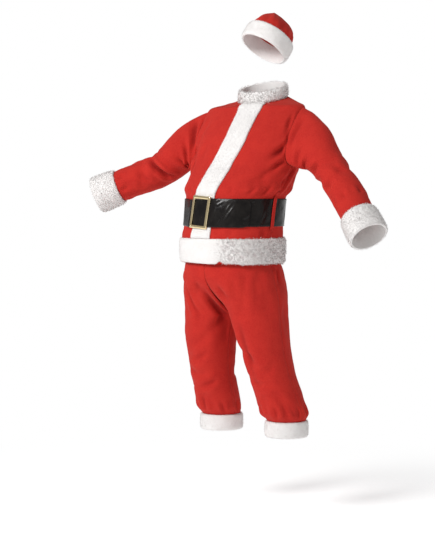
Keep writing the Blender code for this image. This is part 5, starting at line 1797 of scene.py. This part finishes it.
def studio_floor():
    """A plain pale floor."""
    made = Finish("studio_floor", 0.85, Specular_IOR_Level=0.0, Emission_Strength=1.0)
    flat = made.stretched((1.0, 1.0, 0.0))
    away = made.node("ShaderNodeVectorMath", {"operation": "LENGTH"}, _0=flat)["Value"]
    far = made.band(away, FLOOR_NEAR, FLOOR_FAR)
    pale = made.mix(made.noise(3, 2), FLOOR_PALE, FLOOR_PALE_TOO)
    made.feed("Base Color", made.mix(far, pale, (0.0, 0.0, 0.0)))
    made.feed("Emission Color", made.mix(far, FLOOR_GLOW, (1.0, 1.0, 1.0)))
    return made.material


# ---------------------------------------------------------------- the studio
def light(name, power, size, place):
    """A soft round light that looks at the chest."""
    lamp = bpy.data.lights.new(name, "AREA")
    lamp.energy = power
    lamp.shape = "DISK"
    lamp.size = size
    holder = bpy.data.objects.new(name, lamp)
    bpy.context.scene.collection.objects.link(holder)
    holder.location = place
    holder.rotation_euler = (Vector(CHEST) - Vector(place)).to_track_quat("-Z", "Y").to_euler()


def from_camera(right, near, up):
    """A place given to the camera's right, towards it and up, in the suit's own frame."""
    turn = math.radians(CAMERA_AZIMUTH)
    return (
        right * math.cos(turn) + near * math.sin(turn),
        right * math.sin(turn) - near * math.cos(turn),
        up,
    )


def studio():
    """Even light from all round, a white backdrop that only the camera sees, floor and lights."""
    world = bpy.data.worlds.new("studio")
    world.use_nodes = True
    tree = world.node_tree
    soft_box = tree.nodes["Background"]
    soft_box.inputs["Color"].default_value = (1, 1, 1, 1)
    soft_box.inputs["Strength"].default_value = WORLD_LIGHT
    paper = added(tree, "ShaderNodeBackground", None, {"Color": (1, 1, 1)})
    seen = added(tree, "ShaderNodeLightPath", None, {}).outputs["Is Camera Ray"]
    sockets = {"_0": seen, "_1": soft_box.outputs[0], "_2": paper.outputs[0]}
    either = added(tree, "ShaderNodeMixShader", None, sockets)
    tree.links.new(either.outputs[0], tree.nodes["World Output"].inputs["Surface"])
    bpy.context.scene.world = world
    size, z = FLOOR_SIZE, FLOOR_HEIGHT
    corners = [(-size, -size, z), (size, -size, z), (size, size, z), (-size, size, z)]
    new_object("floor", corners, [(0, 1, 2, 3)], studio_floor())
    for name, power, size, place in LIGHTS:
        light(name, power, size, from_camera(*place))


def camera():
    """The camera, which looks a little down at the suit from its front left."""
    made = bpy.data.cameras.new("camera")
    made.sensor_fit = "VERTICAL"
    made.sensor_height = CAMERA_SENSOR
    made.lens = CAMERA_LENS
    holder = bpy.data.objects.new("camera", made)
    bpy.context.scene.collection.objects.link(holder)
    holder.location = from_camera(CAMERA_RIGHT, CAMERA_DISTANCE, CAMERA_HEIGHT)
    holder.rotation_euler = (math.radians(CAMERA_PITCH), 0, math.radians(CAMERA_AZIMUTH))
    bpy.context.scene.camera = holder


# ---------------------------------------------------------------- the suit
RED_PLUSH = red_plush()
WHITE_FUR = white_fur()
BLACK_VINYL = black_vinyl()
GOLD_METAL = gold_metal()
BLACK_THREAD = thread("black_thread", *THREAD_BLACK)
RED_THREAD = thread("red_thread", *THREAD_RED)

jacket()
front_band()
hem_band()
collar()
sleeve("left", SLEEVE_LEFT, 1, SLEEVE_FOLDS_LEFT, SLEEVE_CREASES_LEFT, 41)
sleeve("right", SLEEVE_RIGHT, -1, SLEEVE_FOLDS_RIGHT, SLEEVE_CREASES_RIGHT, 43)
belt()
buckle()
belt_loop("left", math.radians(90))
belt_loop("right", math.radians(270))
waistband(
    leg("left", LEG_LEFT, 1, LEG_FOLDS_LEFT, LEG_CREASES_LEFT, 63),
    leg("right", LEG_RIGHT, -1, LEG_FOLDS_RIGHT, LEG_CREASES_RIGHT, 66),
)
hat()

camera()
studio()
bpy.context.scene.view_settings.view_transform = "Standard"
